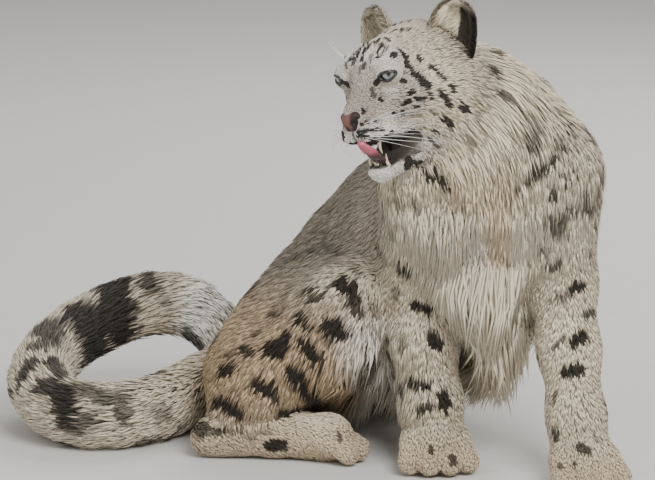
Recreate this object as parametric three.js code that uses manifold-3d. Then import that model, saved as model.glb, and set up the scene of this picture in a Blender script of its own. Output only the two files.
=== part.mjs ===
// A life-size snow leopard, sitting with its chest to the front and its head turned to its right.
// Millimetres, +Z up. The chest faces -Y, the animal's left is towards +X, and the floor is z = 0.
// Flesh is a field of rounded masses laid along the bones. A node's surface is found by pushing
// spokes out from a line inside it until they meet the field, so every node is one closed grid.

import * as THREE from "three";
import { mergeVertices } from "three/addons/utils/BufferGeometryUtils.js";
import Module from "manifold-3d";

const wasm = await Module();
wasm.setup();

// Driving dimensions.
const GAP = 0.3;
const SHOULDER_WIDTH = 160;
const HIP_WIDTH = 136;
const HEAD_SCALE = 1.08;
const EYE_RADIUS = 15;
const EAR_HEIGHT = 62;
const EAR_WIDTH = 66;
const TAIL_RADIUS = 47;
const TAIL_CORE = 0.76;
const FORE_PAW = { width: 112, length: 112 };
const HIND_PAW = { width: 96, length: 104 };

const at = (x, y, z) => new THREE.Vector3(x, y, z);
const between = (a, b, share) => a.clone().lerp(b, share);
const degrees = THREE.MathUtils.degToRad;
const curve = (points) => new THREE.CatmullRomCurve3(points, false, "centripetal");
const BOTH = { left: 1, right: -1 };
const SIDES = Object.keys(BOTH);
const pair = (make) => [make(1), make(-1)];

// Flesh: rounded masses and the soft union of their distances.

// A mass runs from one point to another with a radius at each end.
function mass(from, to, startRadius, endRadius, blend = 22) {
  const run = to.clone().sub(from);
  const length2 = Math.max(run.lengthSq(), 1e-6);
  const offset = at(0, 0, 0);
  const distance = (p) => {
    offset.copy(p).sub(from);
    const t = THREE.MathUtils.clamp(offset.dot(run) / length2, 0, 1);
    return offset.addScaledVector(run, -t).length() - (startRadius + t * (endRadius - startRadius));
  };
  return { distance, blend };
}

function softMin(a, b, blend) {
  const near = Math.max(blend - Math.abs(a - b), 0) / blend;
  return Math.min(a, b) - (near * near * blend) / 4;
}

const flesh = (masses) => (p) => masses.reduce((d, m) => softMin(d, m.distance(p), m.blend), 1e4);

// Masses through a row of [point, radius] stations.
function chain(stations, blend) {
  return stations.slice(1).map(([p, r], i) => mass(stations[i][0], p, stations[i][1], r, blend));
}

// Surfaces: spokes from a line to the field.

const STEP_SHARE = 0.5;
const MARCH_STEPS = 70;
const NEAR_ENOUGH = 0.02;

// The point where a spoke from a point inside first meets the field's level.
function reach(field, origin, way, level) {
  const p = origin.clone();
  let t = 0;
  for (let i = 0; i < MARCH_STEPS; i += 1) {
    const d = field(p) - level;
    if (Math.abs(d) < NEAR_ENOUGH) break;
    t = Math.max(t - d * STEP_SHARE, 0.5);
    p.copy(origin).addScaledVector(way, t);
  }
  return p;
}

// The frame across a line at share u: its point, its way and two directions across it.
function frameAt(line, u, up) {
  const centre = line.getPointAt(u);
  const way = line.getTangentAt(u);
  const across = up.clone().addScaledVector(way, -up.dot(way)).normalize();
  return { centre, way, across, side: way.clone().cross(across) };
}

function spoke(frame, angle, tilt) {
  return frame.across.clone().multiplyScalar(Math.cos(angle) * Math.cos(tilt))
    .addScaledVector(frame.side, Math.sin(angle) * Math.cos(tilt))
    .addScaledVector(frame.way, Math.sin(tilt));
}

// A closed skin round the stretch of a line between two shares of it. domes gives the rings that
// round off each end; an end with none is a flat cut, and trims moves it inwards.
function skin({ line, span = [0, 1], up = at(0, 0, 1), field, rings, sides, domes = [3, 3], level = 0,
  trims = [0, 0] }) {
  const length = line.getLength();
  const ends = [span[0] + trims[0] / length, span[1] - trims[1] / length];
  const hoops = [];
  for (let i = domes[0]; i > 0; i -= 1) hoops.push([ends[0], (-i * Math.PI) / 2 / (domes[0] + 1)]);
  for (let i = 0; i < rings; i += 1) hoops.push([THREE.MathUtils.mapLinear(i, 0, rings - 1, ...ends), 0]);
  for (let i = 1; i <= domes[1]; i += 1) hoops.push([ends[1], (i * Math.PI) / 2 / (domes[1] + 1)]);
  const points = [];
  for (const [u, tilt] of hoops) {
    const frame = frameAt(line, u, up);
    for (let j = 0; j < sides; j += 1) {
      const way = spoke(frame, (j / sides) * 2 * Math.PI, tilt);
      points.push(reach(field, frame.centre, way, level));
    }
  }
  const pole = (u, sign, dome) => {
    const frame = frameAt(line, u, up);
    return dome ? reach(field, frame.centre, frame.way.multiplyScalar(sign), level) : frame.centre;
  };
  points.push(pole(ends[0], -1, domes[0]), pole(ends[1], 1, domes[1]));
  const faces = [];
  const last = hoops.length - 1;
  for (let j = 0; j < sides; j += 1) {
    const k = (j + 1) % sides;
    faces.push(points.length - 2, k, j, points.length - 1, last * sides + j, last * sides + k);
    for (let i = 0; i < last; i += 1) {
      const [a, b, c, d] = [i * sides + j, i * sides + k, (i + 1) * sides + j, (i + 1) * sides + k];
      faces.push(a, b, d, a, d, c);
    }
  }
  return new THREE.BufferGeometry().setFromPoints(points).setIndex(faces);
}

// Solids: joins and cuts.

// A closed mesh as a solid, turned the right way out.
function solid(geometry) {
  const plain = geometry.clone();
  plain.deleteAttribute("normal");
  plain.deleteAttribute("uv");
  const merged = mergeVertices(plain, 1e-3);
  const vertProperties = new Float32Array(merged.attributes.position.array);
  const triVerts = new Uint32Array(merged.index.array);
  const made = new wasm.Manifold(new wasm.Mesh({ numProp: 3, vertProperties, triVerts }));
  if (made.volume() > 0) return made;
  for (let i = 0; i < triVerts.length; i += 3) {
    [triVerts[i + 1], triVerts[i + 2]] = [triVerts[i + 2], triVerts[i + 1]];
  }
  return new wasm.Manifold(new wasm.Mesh({ numProp: 3, vertProperties, triVerts }));
}

function geometryOf(made) {
  const mesh = made.getMesh();
  return new THREE.BufferGeometry()
    .setAttribute("position", new THREE.BufferAttribute(mesh.vertProperties, 3))
    .setIndex(new THREE.BufferAttribute(mesh.triVerts, 1));
}

const largest = (made) => made.decompose().reduce((a, b) => (b.volume() > a.volume() ? b : a));
const cutAll = (made, tools) => tools.reduce((rest, tool) => rest.subtract(tool), made);
const joinAll = (made, tools) => tools.reduce((all, tool) => all.add(tool), made);
const union = (parts) => joinAll(parts[0], parts.slice(1));

const ball = (centre, radius, width, height) => solid(new THREE.SphereGeometry(radius, width, height)
  .translate(centre.x, centre.y, centre.z));

const FLOOR_BLOCK = 1600;
const belowFloor = solid(new THREE.BoxGeometry(FLOOR_BLOCK, FLOOR_BLOCK, 200).translate(0, 150, -100));

// Bones: the joints of this pose.

const spine = {
  hips: at(-62, 222, 98), loin: at(-3, 198, 165), belly: at(60, 172, 225), waist: at(115, 138, 285),
  ribs: at(170, 95, 335), chest: at(213, 50, 372),
};
const girth = { hips: 74, loin: 96, belly: 108, waist: 114, ribs: 118, chest: 112 };
const cervical = { root: at(217, 28, 416), base: at(218, 18, 430), middle: at(195, 6, 466), nape: at(150, -8, 500) };
const neckGirth = { root: 102, base: 98, middle: 90, nape: 80 };

const breast = at(215, -20, 400);
const foreJoints = {
  right: {
    blade: at(200, 78, 458), shoulder: at(breast.x - SHOULDER_WIDTH / 2, -18, 392), elbow: at(122, 30, 248),
    wrist: at(139, -6, 82), paw: at(143, -32, 0), toeWay: at(0.1, -1, 0),
    girth: { blade: 42, shoulder: 58, elbow: 46, forearm: 42, wrist: 39 },
  },
  left: {
    blade: at(262, 82, 466), shoulder: at(breast.x + SHOULDER_WIDTH / 2, -20, 398), elbow: at(310, -8, 246),
    wrist: at(326, -84, 84), paw: at(335, -116, 0), toeWay: at(0.22, -1, 0),
    girth: { blade: 42, shoulder: 58, elbow: 45, forearm: 40, wrist: 37 },
  },
};

const pelvis = at(-18, 214, 128);
const hipWay = at(0.56, 0.83, 0);
const hip = (side) => pelvis.clone().addScaledVector(hipWay, (side * HIP_WIDTH) / 2);
const hindJoints = {
  right: {
    hip: hip(-1), knee: at(24, 40, 204), hock: at(-122, 44, 62), rump: at(-96, 168, 62),
    heel: at(-158, 28, 26), instep: at(-70, 20, 30), paw: at(-2, 12, 0), toeWay: at(1, -0.12, 0),
  },
  left: {
    hip: hip(1), knee: at(152, 228, 200), hock: at(16, 330, 62), rump: at(-50, 286, 62),
    heel: at(-12, 356, 26), instep: at(66, 318, 30), paw: at(124, 288, 0), toeWay: at(0.88, -0.47, 0),
  },
};

const tailLine = [
  at(-112, 238, 76), at(-160, 214, 58), at(-205, 160, 46), at(-245, 104, 44), at(-295, 74, 44),
  at(-345, 84, 46), at(-383, 132, 54), at(-396, 206, 70), at(-367, 282, 96), at(-302, 334, 124),
  at(-232, 352, 138), at(-178, 344, 124), at(-150, 322, 92),
];

// Torso and neck.

const stationsOf = (places, radii) => Object.keys(places).map((name) => [places[name], radii[name]]);
const neckMasses = [
  ...chain(stationsOf(cervical, neckGirth), 18),
  mass(at(235, 92, 450), at(238, 62, 470), 52, 46, 30),
  mass(at(205, -20, 440), at(170, -34, 478), 62, 58, 26),
];
const trunkMasses = [
  ...chain(stationsOf(spine, girth), 18),
  ...chain([[at(212, 22, 320), 86], [at(210, 46, 240), 68], [at(200, 86, 175), 50]], 40),
  ...chain([[at(150, 110, 230), 84], [at(90, 150, 160), 78], [at(20, 195, 100), 72]], 40),
];
for (const j of Object.values(foreJoints)) {
  trunkMasses.push(...chain([[j.blade, j.girth.blade], [j.shoulder, j.girth.shoulder],
    [between(j.shoulder, j.elbow, 0.5), j.girth.elbow]], 34));
}
const trunkUp = at(-0.3, 0.2, 1);
const trunk = flesh(trunkMasses);
const neck = flesh(neckMasses);
const torsoSkin = (level) => solid(skin({ line: curve(Object.values(spine)), up: trunkUp, field: trunk,
  rings: 15, sides: 24, domes: [2, 5], level }));
const neckSkin = (level) => solid(skin({ line: curve(Object.values(cervical)), up: at(-0.6, 0.3, -1),
  field: neck, rings: 5, sides: 18, domes: [1, 3], level }));

// Legs.

function foreleg(j) {
  const g = j.girth;
  const forearm = between(j.elbow, j.wrist, 0.5);
  const low = between(j.wrist, j.paw, 0.6);
  const stations = [[j.shoulder, g.shoulder], [j.elbow, g.elbow], [forearm, g.forearm], [j.wrist, g.wrist],
    [low, g.wrist]];
  const line = curve([between(j.shoulder, j.elbow, 0.3), j.elbow, forearm, j.wrist, low]);
  const field = flesh(chain(stations, 26));
  const make = (level) => solid(skin({ line, up: at(0, -1, 0.2), field, rings: 10, sides: 14, domes: [2, 1],
    level }));
  return { field, make };
}

// A paw: palm, knuckles and four toes, laid out along its own way and across it.
const TOE_SHARES = [-0.33, -0.115, 0.115, 0.33];
function paw(j, { width, length }) {
  const way = j.toeWay.clone().normalize();
  const side = at(-way.y, way.x, 0);
  const put = (ahead, across, high) => j.paw.clone().addScaledVector(way, ahead)
    .addScaledVector(side, across).add(at(0, 0, high));
  const toeRadius = width * 0.155;
  const toes = TOE_SHARES.map((share) => {
    const ahead = length * (0.48 - Math.abs(share) * 0.45);
    return mass(put(8, share * width * 0.85, width * 0.3), put(ahead, share * width * 1.04, toeRadius * 1.02),
      toeRadius * 1.05, toeRadius, 7);
  });
  const palm = mass(put(-length * 0.24, 0, 32), put(6, 0, 30), width * 0.31, width * 0.34, 10);
  const knuckles = mass(put(0, -width * 0.22, 34), put(0, width * 0.22, 34), width * 0.21, width * 0.21, 16);
  const field = flesh([palm, knuckles, ...toes]);
  const line = curve([put(-length * 0.22, 0, 28), put(4, 0, 27), put(length * 0.2, 0, 20)]);
  return (level) => solid(skin({ line, field, rings: 5, sides: 20, domes: [1, 4], level }));
}

function thigh(j) {
  const crus = between(j.knee, j.hock, 0.75);
  const field = flesh([
    mass(j.hip, j.knee, 86, 56, 30), mass(j.knee, crus, 56, 50, 30), mass(crus, j.hock, 50, 38, 30),
    mass(j.rump, between(j.hip, j.hock, 0.5), 66, 82, 34),
  ]);
  const middle = between(j.hip, between(j.knee, j.hock, 0.5), 0.45);
  const line = curve([between(j.rump, middle, 0.3), middle, between(middle, j.knee, 0.7)]);
  const make = (level) => solid(skin({ line, field, rings: 7, sides: 16, domes: [3, 4], level }));
  return { field, make, middle };
}

function hindfoot(j) {
  const toes = at(j.paw.x, j.paw.y, 30);
  const field = flesh(chain([[j.heel, 28], [j.instep, 28], [toes, 30]], 12));
  const line = curve([j.heel, j.instep, toes]);
  return (level) => solid(skin({ line, field, rings: 5, sides: 10, domes: [2, 1], level }));
}

// Tail: five lengths of one round core, which the locks fill out to the full radius.

const tailCurve = curve(tailLine);
const tailShape = [[0, 1.1], [0.1, 1], [0.45, 0.98], [0.8, 1], [0.93, 0.95], [1, 0.7]];
function tailRadius(u) {
  const i = Math.max(tailShape.findIndex(([end]) => end >= u), 1);
  const [[a, ra], [b, rb]] = [tailShape[i - 1], tailShape[i]];
  return TAIL_RADIUS * THREE.MathUtils.mapLinear(u, a, b, ra, rb);
}
const TAIL_PARTS = 5;
const TAIL_STEPS = 6;
const TAIL_END = 0.95;
function tailPart(index, level = 0) {
  const share = (k) => (k / TAIL_PARTS) * TAIL_END;
  const stations = [];
  for (let k = -2; k <= TAIL_STEPS + 2; k += 1) {
    const u = THREE.MathUtils.clamp(share(index + k / TAIL_STEPS), 0, 1);
    stations.push([tailCurve.getPointAt(u), tailRadius(u) * TAIL_CORE]);
  }
  const isTip = index === TAIL_PARTS - 1;
  const field = flesh(chain(stations, 4));
  const made = solid(skin({ line: tailCurve, span: [share(index), share(index + 1)], field,
    rings: TAIL_STEPS + 1, sides: 10, domes: [0, isTip ? 2 : 0], level, trims: [0, isTip ? 0 : GAP] }));
  return { made, field, span: [share(index), share(index + 1)] };
}

// Head, in its own frame: +X to the nose, +Y to the animal's left, +Z to the crown.

const headPlace = new THREE.Group();
headPlace.position.set(90, -55, 520);
headPlace.rotation.set(degrees(10), degrees(13), degrees(180 + 52), "ZYX");
headPlace.updateMatrixWorld(true);
const headWorld = (made) => solid(geometryOf(made).applyMatrix4(headPlace.matrixWorld));

const h = (x, y, z) => at(x, y, z).multiplyScalar(HEAD_SCALE);
const lump = (a, b, ra, rb, blend) => mass(a, b, ra * HEAD_SCALE, rb * HEAD_SCALE, blend);
const eyeCentre = (s) => h(45, 32 * s, 30);

const skull = flesh([
  lump(h(-42, 0, 8), h(8, 0, 12), 58, 51, 20),
  lump(h(26, 0, 20), h(42, 0, 22), 36, 25, 24),
  ...pair((s) => lump(h(18, 38 * s, -8), h(-34, 50 * s, -20), 25, 42, 24)),
  ...pair((s) => lump(h(-28, 46 * s, -42), h(-62, 44 * s, -34), 36, 40, 24)),
  ...pair((s) => lump(h(0, 37 * s, -50), h(-40, 40 * s, -60), 25, 34, 20)),
  lump(h(44, 0, 20), h(94, 0, -3), 20, 12.5, 14),
  lump(h(38, 0, -16), h(78, 0, -22), 34, 25, 16),
  ...pair((s) => lump(h(62, 19 * s, -30), h(88, 13 * s, -30), 19, 15.5, 8)),
  ...pair((s) => lump(h(30, 34 * s, 46), h(50, 20 * s, 43), 10, 9, 10)),
  ...pair((s) => lump(h(30, 41 * s, 14), h(54, 28 * s, 13), 10, 9, 10)),
  lump(h(40, 0, -36), h(70, 0, -36), 22, 18, 12),
]);
const skullLine = curve([h(-56, 0, -10), h(-20, 0, -8), h(20, 0, -10), h(50, 0, -16), h(76, 0, -20)]);
const headSkin = (level) => solid(skin({ line: skullLine, field: skull, rings: 13, sides: 26, domes: [3, 5],
  level }));

const jaw = flesh([
  ...pair((s) => lump(h(-16, 26 * s, -62), h(44, 15 * s, -80), 29, 16, 14)),
  lump(h(44, 0, -84), h(64, 0, -88), 17, 14, 14),
]);
const jawLine = curve([h(-16, 0, -64), h(20, 0, -74), h(60, 0, -87)]);
const jawSkin = (level) => solid(skin({ line: jawLine, field: jaw, rings: 5, sides: 12, domes: [1, 3], level }));

const noseField = flesh([
  ...pair((s) => lump(h(96, 6 * s, -6), h(99, 3 * s, -17), 7.5, 5, 5)),
  lump(h(92, 0, -5), h(102, 0, -9), 8, 7.5, 6),
]);
const noseLine = curve([h(92, 0, -9), h(100, 0, -10)]);
const noseSkin = (level) => solid(skin({ line: noseLine, field: noseField, rings: 3, sides: 10, domes: [1, 2],
  level }));

const tongueLine = [[h(30, 2, -62), 10], [h(66, 4, -60), 11], [h(94, 7, -54), 9], [h(105, 9, -44), 6]];
const tongueSkin = () => solid(skin({ line: curve(tongueLine.map(([p]) => p)),
  field: flesh(chain(tongueLine.map(([p, r]) => [p, r * HEAD_SCALE]), 6)), rings: 5, sides: 7, domes: [1, 1] }));

// Lids: a shell over the eyeball, open along an almond where two slanting drums meet.
const LID_THICKNESS = 3;
function lids(s) {
  const centre = eyeCentre(s);
  const gaze = at(Math.cos(degrees(28)), Math.sin(degrees(28)) * s, 0);
  const drum = (drop) => solid(new THREE.CylinderGeometry(23, 23, 60, 14).rotateZ(-Math.PI / 2)
    .applyQuaternion(new THREE.Quaternion().setFromUnitVectors(at(1, 0, 0), gaze))
    .translate(centre.x + gaze.x * 30, centre.y + gaze.y * 30, centre.z + drop));
  const shell = ball(centre, EYE_RADIUS + LID_THICKNESS, 12, 9);
  return shell.subtract(drum(-15).intersect(drum(14)));
}

// An ear: a flattened dome, hollowed from the front by a smaller one.
function ear(s) {
  const place = new THREE.Matrix4().makeRotationFromEuler(
    new THREE.Euler(degrees(-20) * s, degrees(-14), degrees(16) * s, "ZYX"));
  place.setPosition(h(-54, 55 * s, 31));
  const dome = (depth, share, ahead) => solid(new THREE.SphereGeometry(1, 12, 8)
    .scale(depth, (EAR_WIDTH / 2) * share, EAR_HEIGHT * share).translate(ahead, 0, 0).applyMatrix4(place));
  return dome(21, 1, 0).subtract(dome(22, 0.8, 17));
}

// A tooth: a curved cone.
const tooth = (root, tip, radius) => solid(skin({ line: curve([root, tip]), up: at(1, 0, 0),
  field: flesh([mass(root, tip, radius, radius * 0.3)]), rings: 2, sides: 6, domes: [1, 1] }));

// Locks: flat tapered blades, rooted in a form, that lie over one another along the lie of the coat.

// Repeatable draws, so that the locks vary in the same way each time.
let seed = 24;
function draw(low, high) {
  seed = (seed * 16807) % 2147483647;
  return low + ((high - low) * seed) / 2147483647;
}

// The slope of a field, which points straight out of the form.
function outward(field, p) {
  const slope = (v) => field(p.clone().add(v)) - field(p.clone().sub(v));
  return at(slope(at(1, 0, 0)), slope(at(0, 1, 0)), slope(at(0, 0, 1))).normalize();
}

// Each station of a lock: its share of the length, of the width and of the rise, and its thickness in mm.
const BLADE = [[0, 0.75, -0.7, 7], [0.34, 1, 0.55, 6], [0.72, 0.62, 0.9, 4]];
const TIP_RISE = 0.95;
const EAVES = 0.32;

// A lock: it leaves the form where a spoke from inside meets it, and walks over the surface along the
// lie, which is a direction or a function of the share walked.
function lock(field, from, way, lie, { length, width, rise }) {
  const [turn, size] = [draw(-0.16, 0.16), draw(0.88, 1.12)];
  const place = reach(field, from, way.clone().normalize(), 0);
  const along = at(0, 0, 0);
  const points = [];
  let walked = 0;
  const walk = (share) => {
    place.addScaledVector(along, (share - walked) * length * size);
    walked = share;
    const normal = outward(field, place);
    place.addScaledVector(normal, -field(place));
    along.copy(typeof lie === "function" ? lie(share * size) : lie).projectOnPlane(normal).normalize()
      .applyAxisAngle(normal, turn);
    return normal;
  };
  for (const [share, wide, high, thick] of BLADE) {
    const normal = walk(share);
    const side = normal.clone().cross(along);
    const middle = place.clone().addScaledVector(normal, high * rise);
    const half = (width / 2) * wide;
    const eaves = middle.clone().addScaledVector(normal, -half * EAVES);
    points.push(eaves.clone().addScaledVector(side, half), middle.clone().addScaledVector(normal, thick / 2),
      eaves.clone().addScaledVector(side, -half), middle.clone().addScaledVector(normal, -thick / 2));
  }
  const tip = walk(1).multiplyScalar(rise * TIP_RISE).add(place);
  points.push(tip);
  const faces = [0, 1, 2, 0, 2, 3];
  const end = (BLADE.length - 1) * 4;
  for (let j = 0; j < 4; j += 1) {
    const k = (j + 1) % 4;
    for (let i = 0; i < end; i += 4) faces.push(i + j, i + 4 + j, i + 4 + k, i + j, i + 4 + k, i + k);
    faces.push(end + j, points.length - 1, end + k);
  }
  return solid(new THREE.BufferGeometry().setFromPoints(points).setIndex(faces));
}

// A row of locks fanned round a point inside a form, from one direction to another.
function fan(field, from, ways, lie, sizes, count) {
  const [first, last] = ways;
  return Array.from({ length: count }, (_, i) => {
    const share = THREE.MathUtils.clamp((i + draw(0.35, 0.65)) / count, 0, 1);
    return lock(field, from, first.clone().lerp(last, share), lie, sizes);
  });
}

// Build: each node is its own form less the neighbours that it gives way to.

const group = new THREE.Group();
group.add(headPlace);

function finish(name, made, color, { roughness = 0.85, into = group } = {}) {
  const clear = largest(into === group ? made.subtract(belowFloor) : made);
  const material = new THREE.MeshStandardMaterial({ color, roughness, metalness: 0 });
  const mesh = new THREE.Mesh(geometryOf(clear), material);
  mesh.name = name;
  into.add(mesh);
}

const GREY_COAT = "#b3a795";
const BUFF_COAT = "#cbb48c";
const WHITE_COAT = "#d8d4cb";
const NOSE_LEATHER = "#8a5f55";

const limbs = {};
for (const name of SIDES) {
  limbs[name] = {
    foreleg: foreleg(foreJoints[name]), forepaw: paw(foreJoints[name], FORE_PAW), thigh: thigh(hindJoints[name]),
    hindfoot: hindfoot(hindJoints[name]), hindpaw: paw(hindJoints[name], HIND_PAW),
  };
}

const torsoGrown = torsoSkin(GAP);
const neckGrown = neckSkin(GAP);
const headGrown = headWorld(headSkin(GAP));
const jawGrown = headWorld(jawSkin(GAP));
const thighsGrown = SIDES.map((name) => limbs[name].thigh.make(GAP));
const forelegsGrown = SIDES.map((name) => limbs[name].foreleg.make(GAP));

// Torso: the bib down the breast and the fringe under the belly.
const BIB = { length: 100, width: 54, rise: 16 };
const bibRows = [[345, 4], [285, 4], [232, 2]];
const bib = bibRows.flatMap(([z, count]) => fan(trunk, at(212, 40, z),
  [at(-0.75, -1, 0), at(0.75, -1, 0)], at(0, -0.15, -1), BIB, count));
const FRINGE = { length: 80, width: 50, rise: 14 };
const belly = [0.3, 0.6].flatMap((share) => fan(trunk, between(spine.waist, spine.loin, share),
  [at(-0.2, -1, -0.7), at(0.5, -0.2, -1)], at(0.3, -0.2, -1), FRINGE, 2));
const torsoClear = [neckGrown, ...forelegsGrown, ...thighsGrown, headGrown, jawGrown];
const torsoLocks = cutAll(union([...bib, ...belly]), torsoClear);
finish("torso", cutAll(torsoSkin(0), [neckGrown, headGrown, jawGrown]).add(torsoLocks), GREY_COAT);

// Neck: the long fur of the throat and its sides.
const THROAT = { length: 90, width: 52, rise: 15 };
const throat = fan(neck, at(212, 0, 425), [at(-0.9, -0.8, 0), at(0.8, -0.9, 0)], at(0.1, -0.2, -1), THROAT, 4);
const neckLocks = cutAll(union(throat), [torsoGrown, ...forelegsGrown]);
finish("neck", cutAll(neckSkin(0).add(neckLocks), [headGrown, jawGrown]), GREY_COAT);

// Forelegs: feathering behind the elbow.
const FEATHER = { length: 70, width: 38, rise: 10 };
for (const name of SIDES) {
  const { foreleg: leg, forepaw } = limbs[name];
  const j = foreJoints[name];
  const clearOf = [torsoGrown, neckGrown, forepaw(GAP), ...thighsGrown];
  const feathers = fan(leg.field, between(j.elbow, j.wrist, 0.3), [at(-0.8, 1, 0), at(0.8, 1, 0)],
    at(0, 0.25, -1), FEATHER, 3);
  finish(`foreleg_${name}`, cutAll(leg.make(0).add(union(feathers)), clearOf), GREY_COAT);
  finish(`forepaw_${name}`, forepaw(0), BUFF_COAT);
}

// Hind legs: the fringe that hangs from the front and the underside of the thigh.
const SKIRT = { length: 100, width: 62, rise: 14 };
for (const name of SIDES) {
  const { thigh: haunch, hindfoot: foot, hindpaw } = limbs[name];
  const j = hindJoints[name];
  const clearOf = [torsoGrown, ...forelegsGrown, foot(GAP), hindpaw(GAP)];
  const skirt = fan(haunch.field, between(j.knee, j.hock, 0.25), [at(1, -0.4, -0.1), at(0.1, -0.6, -1)],
    at(-0.05, 0, -1), SKIRT, 3);
  const thighLocks = cutAll(union(skirt), clearOf);
  finish(`thigh_${name}`, cutAll(haunch.make(0), [torsoGrown]).add(thighLocks), BUFF_COAT);
  finish(`hindfoot_${name}`, cutAll(foot(0), [...thighsGrown, torsoGrown, hindpaw(GAP)]), BUFF_COAT);
  finish(`hindpaw_${name}`, cutAll(hindpaw(0), [...thighsGrown, torsoGrown]), BUFF_COAT);
}

// Tail: rows of locks that lie towards the tip, cut off where the next length begins.
const TAIL_ROWS = 2;
const LOCKS_ROUND = 4;
const COAT_INSET = 1.2;
const tailLengths = Array.from({ length: TAIL_PARTS }, (_, i) => tailPart(i));
const tailGrown = Array.from({ length: TAIL_PARTS }, (_, i) => tailPart(i, GAP).made);
for (const [i, { made, field, span }] of tailLengths.entries()) {
  const isTip = i === TAIL_PARTS - 1;
  const rows = Array.from({ length: TAIL_ROWS }, (_, row) => {
    const u = THREE.MathUtils.mapLinear(row, 0, TAIL_ROWS, span[0], span[1]) + 0.004;
    const frame = frameAt(tailCurve, u, at(0, 0, 1));
    const size = tailRadius(u);
    const length = size * 2.4;
    const lie = (share) => tailCurve.getTangentAt(Math.min(u + (share * length) / tailCurve.getLength(), 1));
    return Array.from({ length: LOCKS_ROUND }, (_unused, k) => lock(field, frame.centre,
      spoke(frame, ((k + (row % 2) / 2) / LOCKS_ROUND) * 2 * Math.PI, 0), lie,
      { length, width: size * 1.3, rise: size * (1 - TAIL_CORE) }));
  });
  const [start, end] = span.map((u) => frameAt(tailCurve, u, at(0, 0, 1)));
  const ahead = (part) => part.trimByPlane(start.way.toArray(), start.way.dot(start.centre) + COAT_INSET);
  const short = (part) => (isTip ? part : part.trimByPlane(end.way.clone().negate().toArray(),
    COAT_INSET - end.way.dot(end.centre)));
  const clearOf = [torsoGrown, ...thighsGrown, ...tailGrown.filter((_, k) => Math.abs(k - i) > 1)];
  const coat = short(ahead(union(rows.flat())));
  finish(`tail_${i + 1}`, cutAll(made.add(coat), clearOf), isTip ? WHITE_COAT : BUFF_COAT);
}

// Head: ruffs behind the cheeks, then the lids, teeth, nose, jaw, tongue, eyes and ears.
const sockets = pair((s) => ball(eyeCentre(s), EYE_RADIUS + GAP, 12, 9));
const upperTeeth = (extra) => pair((s) => tooth(h(74, 15 * s, -40), h(76, 14 * s, -60), 5 + extra));
const lowerTeeth = (extra) => pair((s) => tooth(h(64, 9 * s, -82), h(68, 11 * s, -66), 4 + extra));
const RUFF = { length: 70, width: 44, rise: 13 };
const ruffs = pair((s) => fan(skull, h(-22, 24 * s, -22), [at(0, s, 0.15), at(-0.1, s * 0.5, -1)],
  at(-0.8, 0.2 * s, -0.7), RUFF, 3)).flat();
const headLocal = (made) => solid(geometryOf(made).applyMatrix4(headPlace.matrixWorld.clone().invert()));
const bodyLocal = headLocal(neckSkin(GAP).add(torsoGrown));
const ruffLocks = cutAll(union(ruffs), [bodyLocal, jawSkin(GAP)]);
const headBase = joinAll(headSkin(0), [...pair(lids), ...upperTeeth(0), ruffLocks]);
const inHead = { into: headPlace };
const wet = { into: headPlace, roughness: 0.4 };
finish("head", cutAll(headBase, [...sockets, noseSkin(GAP)]), GREY_COAT, inHead);
finish("lower_jaw", cutAll(joinAll(jawSkin(0), lowerTeeth(0)), [headSkin(GAP)]), WHITE_COAT, inHead);
finish("nose", noseSkin(0), NOSE_LEATHER, wet);
const mouth = [headSkin(GAP), jawSkin(GAP), ...upperTeeth(2 * GAP), ...lowerTeeth(2 * GAP)];
finish("tongue", cutAll(tongueSkin(), mouth), "#c05a6c", wet);
for (const [name, s] of Object.entries(BOTH)) {
  finish(`eye_${name}`, ball(eyeCentre(s), EYE_RADIUS, 12, 9), "#a9b7b4", wet);
  finish(`ear_${name}`, cutAll(ear(s), [headSkin(GAP), bodyLocal]), GREY_COAT, inHead);
}

// The origin is at the middle of the footprint, on the floor.
const whole = new THREE.Box3().setFromObject(group, true);
const centre = whole.getCenter(at(0, 0, 0));
group.position.set(-centre.x, -centre.y, -whole.min.z);

export default group;
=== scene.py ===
import math

import bmesh
import bpy
import numpy as np
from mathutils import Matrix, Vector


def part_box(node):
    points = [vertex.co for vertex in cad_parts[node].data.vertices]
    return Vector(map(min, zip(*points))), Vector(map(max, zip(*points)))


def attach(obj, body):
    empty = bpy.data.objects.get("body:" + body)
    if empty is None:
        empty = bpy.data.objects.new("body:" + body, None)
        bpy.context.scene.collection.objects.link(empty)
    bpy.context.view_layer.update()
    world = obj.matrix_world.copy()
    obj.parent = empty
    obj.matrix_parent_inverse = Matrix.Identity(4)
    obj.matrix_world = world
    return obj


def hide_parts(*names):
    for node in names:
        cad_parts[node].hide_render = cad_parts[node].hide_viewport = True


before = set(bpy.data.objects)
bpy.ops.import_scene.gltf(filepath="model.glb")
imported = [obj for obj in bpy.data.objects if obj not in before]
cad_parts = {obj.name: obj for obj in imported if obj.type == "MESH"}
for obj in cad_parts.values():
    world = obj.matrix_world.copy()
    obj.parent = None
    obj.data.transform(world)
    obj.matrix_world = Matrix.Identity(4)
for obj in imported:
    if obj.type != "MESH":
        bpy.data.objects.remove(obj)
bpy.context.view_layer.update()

# The plan. The animal is laid out in millimetres on its own plan, chest to the front (-Y), its left
# towards +X, and the floor at zero. The head has axes of its own: X to the nose, Y to the left, Z to
# the crown. The left eye, a ball at a known place in the head, ties the plan to the frame in metres.
MM = 0.001
HEAD_AT = np.array([90.0, -55.0, 520.0])
HEAD_ROLL, HEAD_PITCH, HEAD_YAW = np.radians([10.0, 13.0, 232.0])
HEAD_SCALE = 1.08
EYE_AT = (45.0, 32.0, 30.0)
EYE_RADIUS = 15.0


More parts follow.
